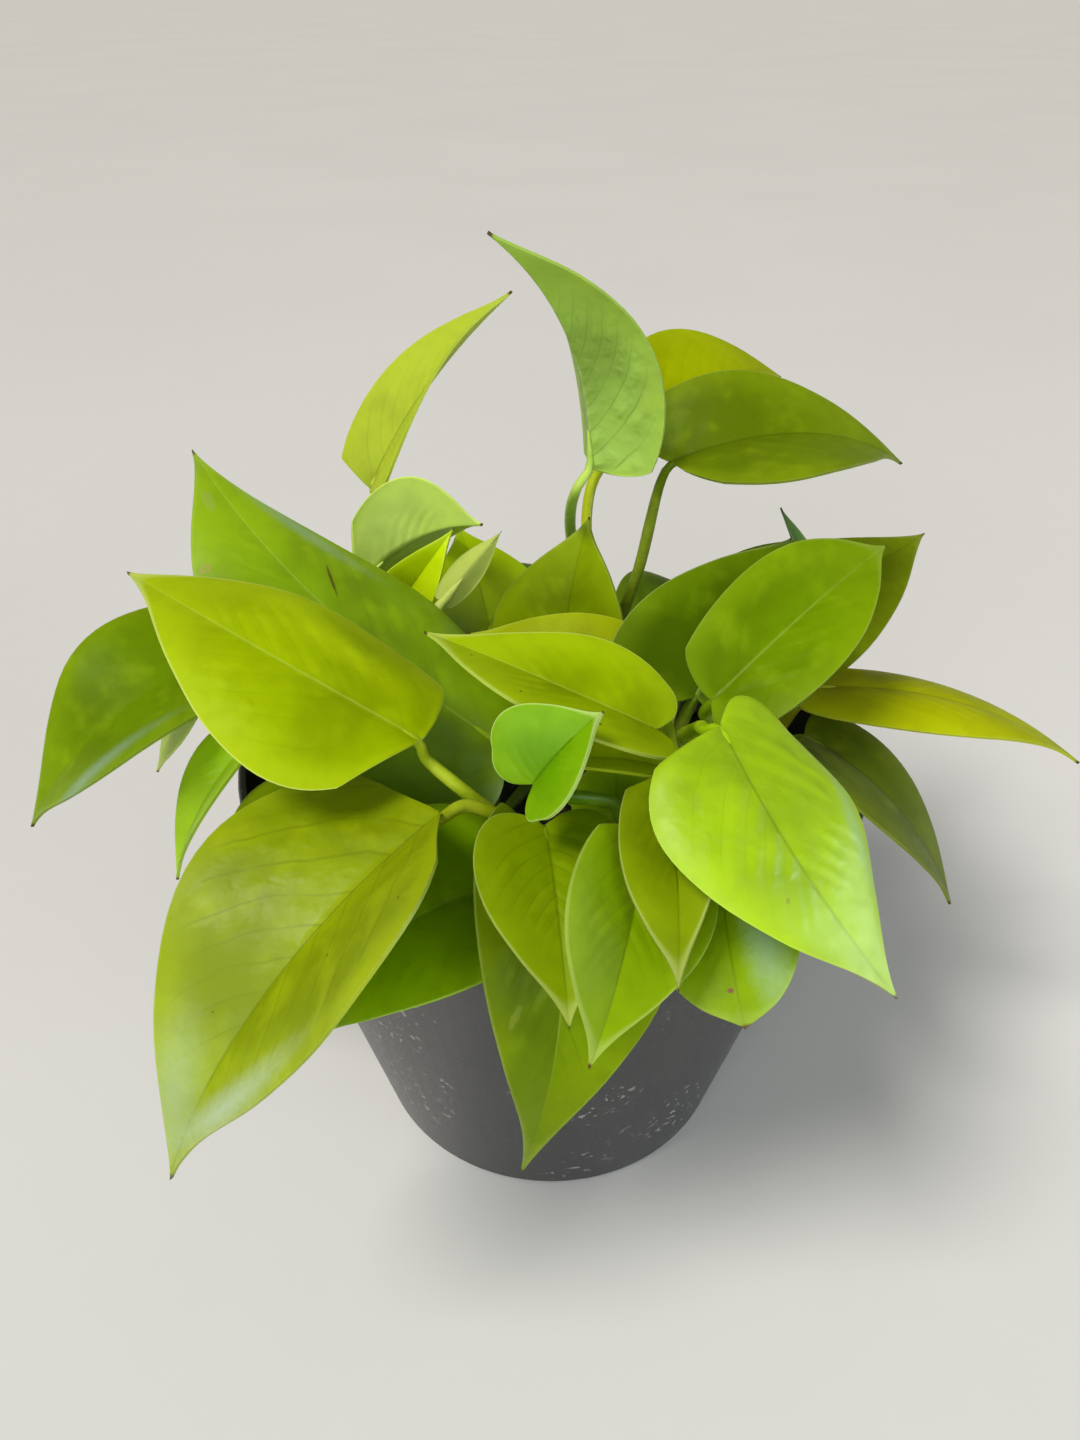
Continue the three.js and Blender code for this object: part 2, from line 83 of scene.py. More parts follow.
# Stems, in millimetres and in shares of their length and radius. A stem stands straight through the
# mix's top, and it is a little thicker at each joint and thinner at its end.
STEM_RADIUS = 2.5
STEM_ROOT_Z = 72
STEM_RINGS = 26
STEM_SIDES = 14
STRAIGHT_UNDER_TOP = 10
STRAIGHT_OVER_TOP = 3
HIGHEST_SPRING = 0.985
USUAL_GIRTH = 0.93
JOINT_SWELLING = 0.07
JOINT_STEP = 1.9
END_GIRTH = 0.7

# Blades, in millimetres. The rib's groove, the ripples and the roll of the margin shape the surface.
BLADE_THICKNESS = 0.7
BLADE_ROWS = 44
BLADE_COLUMNS = 32
BLADE_MERGE_GAP = 0.02
MARGIN_RIPPLES = 2.5
RIPPLE_SHIFT = 1.2
ROLL_SHARPNESS = 10
WEDGE = 0.1
RIB_GROOVE = 0.45
RIB_WIDTH = 1.5
BLADE_MAPS = ("along", "across", "edge_mm", "rib_mm")

# Petioles, in millimetres and in shares of their length: a sheath at the stem, then a slow taper, and
# a quick one where the petiole runs out under the midrib
PETIOLE_RADIUS = 1.4
PETIOLE_RINGS = 30
PETIOLE_SIDES = 10
PETIOLE_GRIP = 8
LONGEST_GRIP = 0.3
UNDER_NOTCH = 1.1
UNDER_MIDRIB = 0.9
SHEATH_RADIUS = 1.9
SHEATH_END = 0.3
TAPER = 0.6
TAPER_START = 0.6
LAST_TAPER = 0.7
LAST_TAPER_START = 0.88

# Leaf skin: the side veins, the relief in millimetres, and the tints that leaf colours lean towards
SIDE_VEINS = 11
VEIN_SWEEP = 0.56
VEIN_WANDER = 0.1
LEAF_RELIEF = 0.35
LEAF_ROUGHNESS = 0.4
RIB_SHARES = {"pale": 0.3, "dark": 0.45, "faint": 0.1}
LIGHT_TINT = "#D8EC30"
EDGE_TINT = "#F4F8B8"
RIB_TINT = "#E8F0A0"
UNDER_TINT = "#C4D68A"
PETIOLE_TINT = "#CCD468"
THROUGH_TINT = "#EEF428"
DRY_TIP = "#5E4422"

# Dust on the grained finishes
DUST = "#A8A59E"

# Marks on the blades: where an oval mark starts to fade and ends, in its own half sizes, and how far and
# how strongly a hollow one is filled
MARK_FADE = 1
MARK_END = 1.45
HOLLOW_FADE = 0.75
HOLLOW_END = 1.05
HOLLOW_SHARE = 0.15

# Camera: its place in millimetres, its tilt up from straight down in degrees, its focal length in pixels
# of the picture, and the picture's long side in pixels and as a film's length in millimetres
CAMERA_PLACE = (-3, -214, 266)
CAMERA_TILT = 55
FOCAL_PIXELS = 1081
LONG_SIDE_PIXELS = 1440
LONG_SIDE_MM = 36

# The stems: where each is rooted in the mix, and the points that it passes above the mix
VINES = {
    "front_left": ((-10, -30), [(-9, -34, 108), (-5, -42, 118)]),
    "front_right": ((6, -32), [(7, -36, 107), (8, -44, 117)]),
    "middle": ((-4, -6), [(-4, -7, 106), (-5, -9, 115)]),
    "right": ((24, -14), [(25, -16, 112), (29, -22, 128)]),
    "back": ((8, 30), [(8, 30, 110), (11, 31, 124)]),
    "left": ((-24, 12), [(-25, 13, 108), (-29, 17, 118)]),
    "left_back": ((-32, 44), [(-33, 45, 106), (-37, 50, 116)]),
    "right_back": ((32, 22), [(32, 22, 106), (34, 24, 115)]),
    "far_right": ((46, -8), [(47, -8, 106), (51, -9, 116)]),
    "left_front": ((-36, -14), [(-38, -13, 107), (-44, -11, 117)]),
    "rear": ((-2, 49), [(-2, 50, 103), (-1, 52, 108)]),
}


def leaf(name, tone, colour, vine, at, base, tip, width, roll, **form):
    row = {"arch": 0, "sway": 0, "crest": 0.5, "fold": (0, 0), "cup": 0, "wave": 0, "twist": 0,
           "belly": (0, 0), "lobe": (1, 1), "slide": (0, 0), "knee": (4.5, 3), "via": [],
           "curl": 0.4, "veins": 0.2, "quilt": 0.45, "margin": 0.12, "halo": 0.4, "rib": "dark",
           "gloss": 0.04, "glow": 0.2}
    row.update(form)
    row.update(name=name, tone=tone, colour=colour, vine=vine, at=at, base=Vector(base), tip=Vector(tip),
               width=width, roll=roll)
    return row


# Every leaf: its tone and its own colour, the stem and the height on it (0 at the mix, 1 at the top)
# where the petiole springs, the notch and the tip of the blade, its width, and its roll: how far it
# leans to its right, in degrees, from facing upwards. Arch and sway bend the midrib up and to the
# right, crest is where the bend is strongest, fold lifts the left and right halves, in degrees, cup
# lifts the margins, wave ripples them and twist turns the blade between notch and tip. For the two
# halves, belly moves the widest place towards the tip, lobe deepens the heart and slide draws the
# margin towards the tip. Knee is how far under and behind the notch the petiole bends, and via lists
# points that the petiole passes. Curl rolls the margin down, in millimetres. The rest is the finish: how
# strongly the side veins, the quilting, the pale margin, the light band inside it and the midrib show,
# the gloss, and how much light the blade lets through.
LEAVES = [
    # Crown leaves that stand up at the back
    leaf("crown_tall", "pale", "#A2C848", "back", 1.0, (9, 20, 172), (-13, 8, 224), 36, 15,
         arch=8, fold=(26, 38), belly=(0, 0.04), lobe=(0.3, 0), via=[(5, 37, 146)],
         veins=0.6, quilt=1.6, rib="pale", gloss=0.15),
    leaf("crown_left", "yellow", "#BECE3C", "left_back", 1.0, (-48, 56, 152), (-10, 68, 199), 28, 15,
         arch=4, fold=(15, 35), twist=-40, belly=(0.1, 0.05), lobe=(-0.5, -0.5), via=[(-41, 58, 138)],
         veins=0.3, quilt=0.5, glow=0.3),
    leaf("crown_behind", "yellow", "#BDC900", "back", 0.5, (26, 50, 177), (65, 92, 170), 36, 24,
         arch=5, fold=(8, 8), via=[(9, 44, 137), (11, 54, 155)],
         glow=0.4),
    leaf("crown_right", "dark", "#6D8500", "back", 0.7, (27, 22, 173), (86, 40, 165), 37, 24,
         arch=9, fold=(13, 16), wave=0.8, belly=(0, -0.1), lobe=(0.8, 0.3), slide=(-0.1, 0.15),
         via=[(16, 27, 126), (21, 27, 141)],
         veins=0.1, quilt=0.4, gloss=0.08),
    leaf("inner_upright", "green", "#7F9600", "back", 0.2, (2, 13, 118), (9, 29, 156), 38, -2,
         arch=3, fold=(5, 20),
         veins=0.35),
    # Leaves of the two left-hand vines
    leaf("hood_pale", "pale", "#D6F26A", "left_back", 0.6, (-50, 34, 135), (-17, 31, 153), 32, -62,
         arch=6, fold=(28, 28), lobe=(0.5, -0.5), slide=(0, 0.25),
         veins=0.1, quilt=0.5, rib="faint", gloss=0.08, glow=0.15),
    leaf("hood_bright", "yellow", "#D0EA00", "left", 1.0, (-43, 27, 127), (-24, 29, 153), 17, 72,
         arch=2, fold=(30, 30),
         glow=0.2),
    leaf("small_pale", "pale", "#C2CE60", "left", 0.7, (-26, 19, 139), (-12, 21, 156), 9, -109,
         arch=1, fold=(30, 30), knee=(2, 3), via=[(-23, 20, 123)],
         quilt=0.3),
    leaf("left_olive", "dark", "#B8D600", "left", 0.3, (-16, 35, 118), (-25, 50, 144), 36, 10,
         arch=2, fold=(5, 5)),
    leaf("left_large", "dark", "#8EB300", "middle", 1.0, (-13, -18, 123), (-85, 31, 172), 58, -6,
         arch=6, sway=-10, fold=(5, 5), wave=1.2, cup=-12, belly=(0, -0.1), lobe=(0.8, 0.8),
         curl=0.8, veins=0.15, quilt=0.5, rib="pale", gloss=0.25),
    # Leaves of the two front vines
    leaf("left_light", "lime", "#A3BA00", "front_left", 0.6, (-26, -45, 143), (-89, -12, 162), 42, -10,
         arch=7, sway=-5, fold=(5, 5), wave=0.7, cup=-7, belly=(-0.14, 0.08), lobe=(-0.5, 0.2),
         slide=(0.1, 0), via=[(-12, -45, 124), (-18, -46, 131)],
         veins=0.15, quilt=0.35, margin=0.5, halo=0.8, rib="pale"),
    leaf("front_large", "green", "#9AAD00", "front_left", 1.0, (-22, -55, 133), (-73, -96, 77), 62, 2,
         arch=13, sway=-4, fold=(18, 27), wave=0.8, twist=-40, belly=(-0.18, -0.05), lobe=(-0.5, -0.4),
         slide=(0.12, 0), knee=(2, 5), via=[(-11, -50, 128)],
         curl=0.8, veins=0.42, quilt=0.6, gloss=0.18),
    leaf("front_low", "green", "#89B500", "front_left", 0.25, (-9, -51, 112), (-47, -78, 93), 42, -11,
         arch=15.5, crest=0.65, fold=(10, 25), belly=(-0.05, 0), lobe=(1, 0.4),
         veins=0.12, rib="pale"),
    leaf("front_long", "lime", "#6F8900", "front_right", 0.4, (-1, -52, 120), (-7, -82, 57), 42, -31,
         arch=20, sway=3.5, crest=0.2, fold=(22, 18), wave=0.8, belly=(-0.05, -0.1), lobe=(-1, 0.2),
         veins=0.4, rib="pale"),
    leaf("front_heart", "green", "#7E9800", "front_right", 0.7, (-2, -59, 133), (2, -95, 119), 29, 0,
         arch=4, fold=(10, 12), via=[(1, -48, 124)],
         veins=0.45, margin=0.35),
    leaf("curled_heart", "green", "#74AA00", "front_right", 1.0, (-4, -62, 146), (8, -60, 160), 25, 28,
         arch=1, fold=(30, 30), lobe=(2.5, 2.5), via=[(12, -48, 129)],
         veins=0.08, quilt=0.4, margin=0.6, gloss=0.12),
    leaf("low_left", "green", "#647B00", "left_front", 0.25, (-48, -33, 118), (-73, -45, 100), 26, 0,
         arch=6, fold=(5, 5)),
    leaf("mid_low", "dark", "#567A08", "middle", 0.3, (-14, -27, 108), (-37, -30, 116), 20, -25,
         arch=3, fold=(5, 5)),
    leaf("front_mid", "lime", "#82A400", "front_right", 0.15, (16, -64, 137), (5, -102, 118), 30, -39,
         arch=4, sway=0.8, fold=(20, 12), lobe=(-0.5, -0.8), slide=(0, 0.12), via=[(16, -42, 114)],
         veins=0.4, margin=0.3),
    leaf("front_narrow", "lime", "#7B9100", "front_right", 0.5, (20, -56, 143), (20, -93, 126), 21, 6,
         arch=4, sway=-1, fold=(26, 22), belly=(-0.05, 0), lobe=(0, -0.5), slide=(0, 0.12),
         via=[(17, -47, 128)],
         veins=0.3, margin=0.35),
    # Leaves of the right-hand vine
    leaf("mid_bright", "yellow", "#A4BF00", "right", 0.7, (19, -46, 146.5), (-26, -28, 157), 29, -4,
         arch=4, sway=-4, fold=(16, 16), belly=(0, -0.06), knee=(3, 4), via=[(23, -34, 138)],
         veins=0.1, margin=0.4, halo=0.7, rib="pale", glow=0.25),
    leaf("mid_yellow", "yellow", "#A9B600", "right", 0.3, (25, -10, 130), (-20, 9, 135), 25, -38,
         arch=5, fold=(5, 5),
         veins=0.05, glow=0.3),
    leaf("mid_under", "yellow", "#D2E600", "right", 0.2, (25, -43, 133.5), (-7, -47, 137.5), 15, -2,
         arch=3, fold=(20, 20),
         glow=0.25),
    leaf("mid_dark", "dark", "#6F9100", "middle", 0.45, (14, -29, 107), (14, -17, 123), 20, 0,
         arch=2, fold=(5, 5), knee=(2, 2)),
    leaf("front_right", "lime", "#ABD200", "right", 1.0, (29.5, -56, 154), (58, -90, 121), 38, 6,
         arch=6, sway=6, fold=(4, 4), wave=0.6, cup=-4, belly=(0.05, -0.13), lobe=(1.8, -0.4),
         slide=(0, 0.08), via=[(29, -38, 141)],
         curl=1.2, veins=0.15, quilt=0.65, gloss=0.35),
    leaf("right_upright", "green", "#749500", "right", 0.55, (33, -27, 140), (74, 5, 160), 30, 27,
         arch=5, fold=(10, 22), belly=(0.08, 0.04), lobe=(0.3, 0.8), slide=(0.08, 0),
         via=[(36, -21, 129)],
         veins=0.15, quilt=0.5, rib="pale"),
    leaf("right_pale", "green", "#5B7800", "right", 0.4, (31, -19, 136), (56, 19, 155), 44, 23,
         arch=5, fold=(5, 5), slide=(-0.2, 0.1),
         veins=0.08, margin=0.3),
    # Leaves of the other vines at the right
    leaf("right_olive", "dark", "#6D7E00", "right_back", 1.0, (35, 23, 124), (104, 62, 136), 47, 18,
         arch=6, sway=6, fold=(3, 3), wave=1, cup=-5, belly=(0, -0.06)),
    leaf("right_young", "young", "#6F9A66", "right_back", 0.35, (74, 57, 121), (66, 75, 138), 7, 0,
         arch=1, fold=(40, 40), via=[(48, 36, 115)]),
    leaf("right_far", "yellow", "#B8BE00", "far_right", 1.0, (61, -2, 127), (131, 0, 103), 27, -3,
         arch=6.5, fold=(3, 3), cup=-3,
         quilt=0.3),
    leaf("right_drooping", "dark", "#5A6C00", "far_right", 0.4, (57, -16, 123), (90, -37, 91), 34, -12,
         arch=5.5, fold=(5, 5), lobe=(0.3, 0.3),
         quilt=0.3, gloss=0.12),
    leaf("right_low", "green", "#85A800", "far_right", 0.2, (33, -52, 123), (33, -90, 113), 29, 23,
         arch=5, fold=(14, 14), belly=(0.25, 0.22),
         curl=1, quilt=1, gloss=0.15),
    # Leaves at the far left
    leaf("left_drooping", "dark", "#6E8D00", "left_front", 1.0, (-76, 12, 129), (-125, -16, 96), 48, -25,
         arch=12, fold=(28, -8), cup=4, wave=0.8,
         curl=1.2, veins=0.03, quilt=0.12, rib="faint", gloss=0.05),
    leaf("left_tiny", "pale", "#C8E080", "left_front", 0.7, (-89, 19, 116), (-104, 12, 91), 20, 0,
         arch=1, fold=(5, 5), via=[(-58, 5, 115), (-73, 14, 116)],
         margin=0.2, glow=0.3),
    leaf("left_narrow", "green", "#97C200", "left_front", 0.5, (-68, -20, 124), (-87, -30, 92), 20, 0,
         arch=3, fold=(22, 22), belly=(0, -0.04),
         rib="faint", gloss=0.25),
    # Leaves at the far side of the pot
    leaf("rear_middle", "green", "#7FA80C", "rear", 1.0, (1, 60, 111), (-2, 108, 84), 34, 0,
         arch=15, crest=0.3, fold=(8, 8), lobe=(0.4, 0.4), knee=(2, 3)),
    leaf("rear_left", "lime", "#98BD08", "left_back", 0.2, (-38, 52, 110), (-76, 88, 86), 34, 0,
         arch=15, crest=0.3, fold=(8, 8), lobe=(0.4, 0.4), knee=(2, 3)),
    leaf("rear_right", "dark", "#557010", "rear", 0.4, (30, 53, 109), (52, 95, 82), 34, 0,
         arch=15, crest=0.3, fold=(8, 8), lobe=(0.4, 0.4), knee=(2, 3)),
]


def mark(across, along, long, short, tint, turn=0, strength=0.9, hollow=False, soft=0):
    return {"across": across, "along": along, "long": long, "short": short, "tint": tint, "turn": turn,
            "strength": strength, "hollow": hollow, "soft": soft}


# Scars, specks and strips of painted sheen (reflections painted into the colour): millimetres to the
# right of the midrib and along it, half sizes in millimetres, tint, and the turn in degrees
MARKS = {
    "left_large": [mark(-13.9, 68, 1.2, 1, "#B5A05A", hollow=True),
                   mark(6.5, 51, 5.5, 0.4, "#5A4A12", turn=63),
                   mark(-4, 83, 3.5, 1.5, "#A9B46A", turn=80, strength=0.25),
                   # A strip of painted sheen along the upper margin: a painted reflection
                   mark(10.5, 68, 17, 1.8, "#A3BFA8", turn=107, strength=0.45, soft=0.8)],
    "front_long": [mark(11, 33.6, 2.4, 1.1, "#A9B050", turn=60, strength=0.3)],
    # A band of painted light along the margin of the upper half
    "left_light": [mark(11, 25, 17, 3.4, "#C8DE10", turn=80, strength=0.55, soft=0.7)],
    # The first mark is a strip of painted sheen along the margin, a painted reflection; the second a
    # speck
    "front_right": [mark(-14.5, 27, 17, 1.5, "#A9CFA0", turn=74, strength=0.45, soft=0.8),
                    mark(6, 30.7, 0.7, 0.4, "#8A8A30", turn=30, strength=0.6)],
    # The first mark is a patch of painted sheen on the right half, a painted reflection; the second a
    # spot
    "right_low": [mark(-7, 26, 10, 3.6, "#A3C4A0", turn=92, strength=0.6, soft=0.6),
                  mark(1.2, 33, 0.7, 0.5, "#8A5A48")],
    # A strip of painted sheen along the lower margin: a painted reflection
    "left_drooping": [mark(-13.5, 40, 15, 2.2, "#9DB8A8", turn=78, strength=0.5, soft=0.8)],
    "mid_bright": [mark(-8.8, 24.2, 0.3, 0.25, "#3C3408"), mark(-8.9, 10.6, 0.35, 0.3, "#3C3408"),
                   mark(-2.7, 36.6, 0.3, 0.25, "#3C3408")],
    # The first two marks are strips of painted sheen near the tip, painted reflections; the rest are
    # dark specks
    "front_large": [mark(-8.5, 61, 17, 2.6, "#C4D6BC", turn=60, strength=0.65, soft=0.8),
                    mark(5, 69, 12, 4.5, "#B4C8A8", turn=110, strength=0.45, soft=0.8),
                    mark(-22.5, 18, 0.3, 0.25, "#4A4210"), mark(-11.8, 30, 0.3, 0.3, "#4A4210"),
                    mark(6.2, 51.7, 0.3, 0.25, "#4A4210")],
}

# Half of a blade's outline from the notch to the tip: across in half widths, along in lengths
HALF_OUTLINE = [(0, 0), (0.3, -0.07), (0.65, -0.05), (0.91, 0.09), (1, 0.29), (0.88, 0.49), (0.56, 0.69),
                (0.2, 0.86), (0.05, 0.95), (0, 1)]


# Curves


def outline_at(u):
    last = len(HALF_OUTLINE) - 1
    place = u * last
    i = min(int(place), last - 1)
    w = place - i
    p0 = Vector(HALF_OUTLINE[max(i - 1, 0)])
    p1 = Vector(HALF_OUTLINE[i])
    p2 = Vector(HALF_OUTLINE[i + 1])
    p3 = Vector(HALF_OUTLINE[min(i + 2, last)])
    v1 = (p2 - p0) / 2
    v2 = (p3 - p1) / 2
    return (2 * p1 - 2 * p2 + v1 + v2) * w**3 + (3 * p2 - 3 * p1 - 2 * v1 - v2) * w**2 + v1 * w + p1


def flowing_curve(stations, samples=240):
    """Points along a smooth curve through the stations, and the length of the curve up to each."""
    ends = [stations[0] * 2 - stations[1], *stations, stations[-1] * 2 - stations[-2]]
    points = []
    spans = len(stations) - 1
    for n in range(samples + 1):
        place = n / samples * spans
        i = min(int(place), spans - 1)
        w = place - i
        p0, p1, p2, p3 = ends[i:i + 4]
        d0 = max((p1 - p0).length, 1e-6) ** 0.5
        d1 = max((p2 - p1).length, 1e-6) ** 0.5
        d2 = max((p3 - p2).length, 1e-6) ** 0.5
        v1 = ((p1 - p0) / d0 - (p2 - p0) / (d0 + d1) + (p2 - p1) / d1) * d1
        v2 = ((p2 - p1) / d1 - (p3 - p1) / (d1 + d2) + (p3 - p2) / d2) * d1
        points.append((2 * p1 - 2 * p2 + v1 + v2) * w**3 + (3 * p2 - 3 * p1 - 2 * v1 - v2) * w**2
                      + v1 * w + p1)
    lengths = [0]
    for a, b in zip(points, points[1:]):
        lengths.append(lengths[-1] + (b - a).length)
    return points, lengths


def point_along(curve, share):
    points, lengths = curve
    wanted = share * lengths[-1]
    i = 0
    while i < len(lengths) - 2 and lengths[i + 1] < wanted:
        i += 1
    span = lengths[i + 1] - lengths[i]
    return points[i].lerp(points[i + 1], (wanted - lengths[i]) / span)


def vine_curve(vine):
    (x, y), path = VINES[vine]
    heights = (STEM_ROOT_Z + SEAT_GAP, MIX_TOP - STRAIGHT_UNDER_TOP, MIX_TOP + STRAIGHT_OVER_TOP)
    in_hole = [Vector((x, y, z)) for z in heights]
    return flowing_curve(in_hole + [Vector(p) for p in path])


def spring_point(row):
    curve = vine_curve(row["vine"])
    whole = curve[1][-1]
    in_mix = MIX_TOP + STRAIGHT_OVER_TOP - STEM_ROOT_Z - SEAT_GAP
    share = (in_mix + row["at"] * (whole - in_mix)) / whole
    return point_along(curve, min(share, HIGHEST_SPRING))


def midrib_at(row, share):
    """The midrib's point at a share of its length, with the blade's tangent, normal and right side."""
    start, end = row["base"], row["tip"]
    chord = end - start
    along = chord.normalized()
    up = (Vector((0, 0, 1)) - along * along.z).normalized()
    up = Matrix.Rotation(math.radians(row["roll"]), 3, along) @ up
    crest = start.lerp(end, row["crest"]) + up * 2 * row["arch"] + along.cross(up) * 2 * row["sway"]
    s = min(max(share, 0), 1)
    centre = start * (1 - s) ** 2 + crest * 2 * s * (1 - s) + end * s**2
    tangent = ((crest - start) * (1 - s) + (end - crest) * s).normalized()
    if share < 0:
        centre = centre + tangent * share * chord.length
    normal = Matrix.Rotation(math.radians(row["twist"]) * (s - 0.5), 3, tangent) @ up
    normal = (normal - tangent * normal.dot(tangent)).normalized()
    return centre, tangent, normal, tangent.cross(normal)


def rim_point(row, half, u):
    """The margin of one half. A lobe below zero starts it forwards of the notch, as a wedge."""
    rim = outline_at(u)
    ahead = max(rim.y, 0)
    lobe = row["lobe"][half]
    start = -lobe * WEDGE * rim.x * (1 - ahead) ** 3 if lobe < 0 else lobe * min(rim.y, 0)
    rim.y = ahead + start + row["belly"][half] * math.sin(math.pi * ahead)
    return rim


def blade_place(row, u, t):
    """How far along the midrib and out from it a point of the blade lies. u runs from notch to tip
    along the margin, t from the left margin over the midrib to the right one."""
    half = 0 if t < 0 else 1
    rim = rim_point(row, half, u)
    across = abs(t) * rim.x
    return u * u + (rim.y - u * u) * abs(t) + row["slide"][half] * across, across


def blade_point(row, u, t):
    half = 0 if t < 0 else 1
    share, across = blade_place(row, u, t)
    tilt = math.radians(row["fold"][half])
    reach = row["width"] / 2 * across
    phase = 2 * math.pi * MARGIN_RIPPLES * u - RIPPLE_SHIFT * half
    ripple = row["wave"] * math.sin(phase) * across**2
    groove = RIB_GROOVE * math.exp(-(reach / RIB_WIDTH) ** 2) * (1 - u)
    rolled = row["curl"] * abs(t) ** ROLL_SHARPNESS * outline_at(u).x
    rise = reach * math.sin(tilt) + row["cup"] * across**2 + ripple - groove - rolled
    centre, tangent, normal, side = midrib_at(row, share)
    return centre + side * math.copysign(reach * math.cos(tilt), t) + normal * rise


# Mesh helpers


def deselect_all():
    bpy.ops.object.select_all(action="DESELECT")


def pick(*pieces):
    deselect_all()
    for piece in pieces:
        piece.select_set(True)
    bpy.context.view_layer.objects.active = pieces[0]


def apply_modifiers(piece):
    pick(piece)
    for modifier in list(piece.modifiers):
        bpy.ops.object.modifier_apply(modifier=modifier.name)


def settle(piece):
    """Puts the piece's place into its mesh, so that its object sits at the origin."""
    pick(piece)
    bpy.ops.object.transform_apply(location=True, rotation=True, scale=True)


def stem_tube(name, points, radii, sides):
    """A round tube through points in millimetres, with a radius for each point."""
    deselect_all()
    bpy.ops.curve.primitive_nurbs_path_add()
    tube = bpy.context.object
    tube.name = name
    curve = tube.data
    curve.splines.clear()
    spline = curve.splines.new("POLY")
    spline.points.add(len(points) - 1)
    for knot, point, radius in zip(spline.points, points, radii):
        knot.co = (*(point * MM), 1)
        knot.radius = radius
    curve.dimensions = "3D"
    curve.twist_mode = "MINIMUM"
    curve.bevel_depth = MM
    curve.bevel_resolution = sides // 2 - 2
    curve.use_fill_caps = True
    pick(tube)
    bpy.ops.object.convert(target="MESH")
    tube = bpy.context.object
    bpy.ops.object.mode_set(mode="EDIT")
    bpy.ops.mesh.select_all(action="SELECT")
    bpy.ops.mesh.remove_doubles(threshold=MERGE_GAP * MM)
    bpy.ops.mesh.normals_make_consistent(inside=False)
    bpy.ops.object.mode_set(mode="OBJECT")
    bpy.ops.object.shade_smooth_by_angle(angle=SMOOTH_ANGLE)
    return tube


# Materials

# The two kinds of node group socket
COLOUR = "NodeSocketColor"
NUMBER = "NodeSocketFloat"


def colour(text):
    """A colour such as #9CB900 as the shader's linear values."""
    channels = [int(text[i:i + 2], 16) / 255 for i in (1, 3, 5)]
    return (*(c / 12.92 if c < 0.04045 else ((c + 0.055) / 1.055) ** 2.4 for c in channels), 1)


def darker(text, share):
    """A colour with a share of its own brightness."""
    channels = [round(int(text[i:i + 2], 16) * share) for i in (1, 3, 5)]
    return "#{:02X}{:02X}{:02X}".format(*channels)


def towards(text, other, share):
    """A colour on the way to another one."""
    pairs = [(int(text[i:i + 2], 16), int(other[i:i + 2], 16)) for i in (1, 3, 5)]
    return "#{:02X}{:02X}{:02X}".format(*(round(a + (b - a) * share) for a, b in pairs))


def node(tree, kind, **values):
    made = tree.nodes.new(kind)
    for name, value in values.items():
        setattr(made, name, value)
    return made


def math_node(tree, operation, first, second=None):
    made = node(tree, "ShaderNodeMath", operation=operation)
    for socket, value in zip(made.inputs, (first, second)):
        if isinstance(value, (int, float)):
            socket.default_value = value
        elif value is not None:
            tree.links.new(value, socket)
    return made.outputs[0]


def ramp_node(tree, value, low, high, at_low, at_high):
    """A soft step: at_low below low, at_high above high."""
    made = node(tree, "ShaderNodeMapRange", interpolation_type="SMOOTHSTEP")
    tree.links.new(value, made.inputs["Value"])
    made.inputs["From Min"].default_value = low
    made.inputs["From Max"].default_value = high
    made.inputs["To Min"].default_value = at_low
    made.inputs["To Max"].default_value = at_high
    return made.outputs["Result"]


def mix_node(tree, share, first, second):
    made = node(tree, "ShaderNodeMix", data_type="RGBA")
    tree.links.new(share, made.inputs[0])
    for socket, value in ((made.inputs[6], first), (made.inputs[7], second)):
        if isinstance(value, tuple):
            socket.default_value = value
        else:
            tree.links.new(value, socket)
    return made.outputs[2]


def noise_node(tree, place, scale, detail=3):
    made = node(tree, "ShaderNodeTexNoise")
    tree.links.new(place, made.inputs["Vector"])
    made.inputs["Scale"].default_value = scale
    made.inputs["Detail"].default_value = detail
    return made.outputs["Fac"]


def attribute(tree, name):
    return node(tree, "ShaderNodeAttribute", attribute_name=name).outputs["Fac"]


def new_group(name, inputs, outputs):
    group = bpy.data.node_groups.new(name, "ShaderNodeTree")
    for label, kind in inputs:
        group.interface.new_socket(label, in_out="INPUT", socket_type=kind)
    for label, kind in outputs:
        group.interface.new_socket(label, in_out="OUTPUT", socket_type=kind)
    return group, node(group, "NodeGroupInput").outputs, node(group, "NodeGroupOutput").inputs


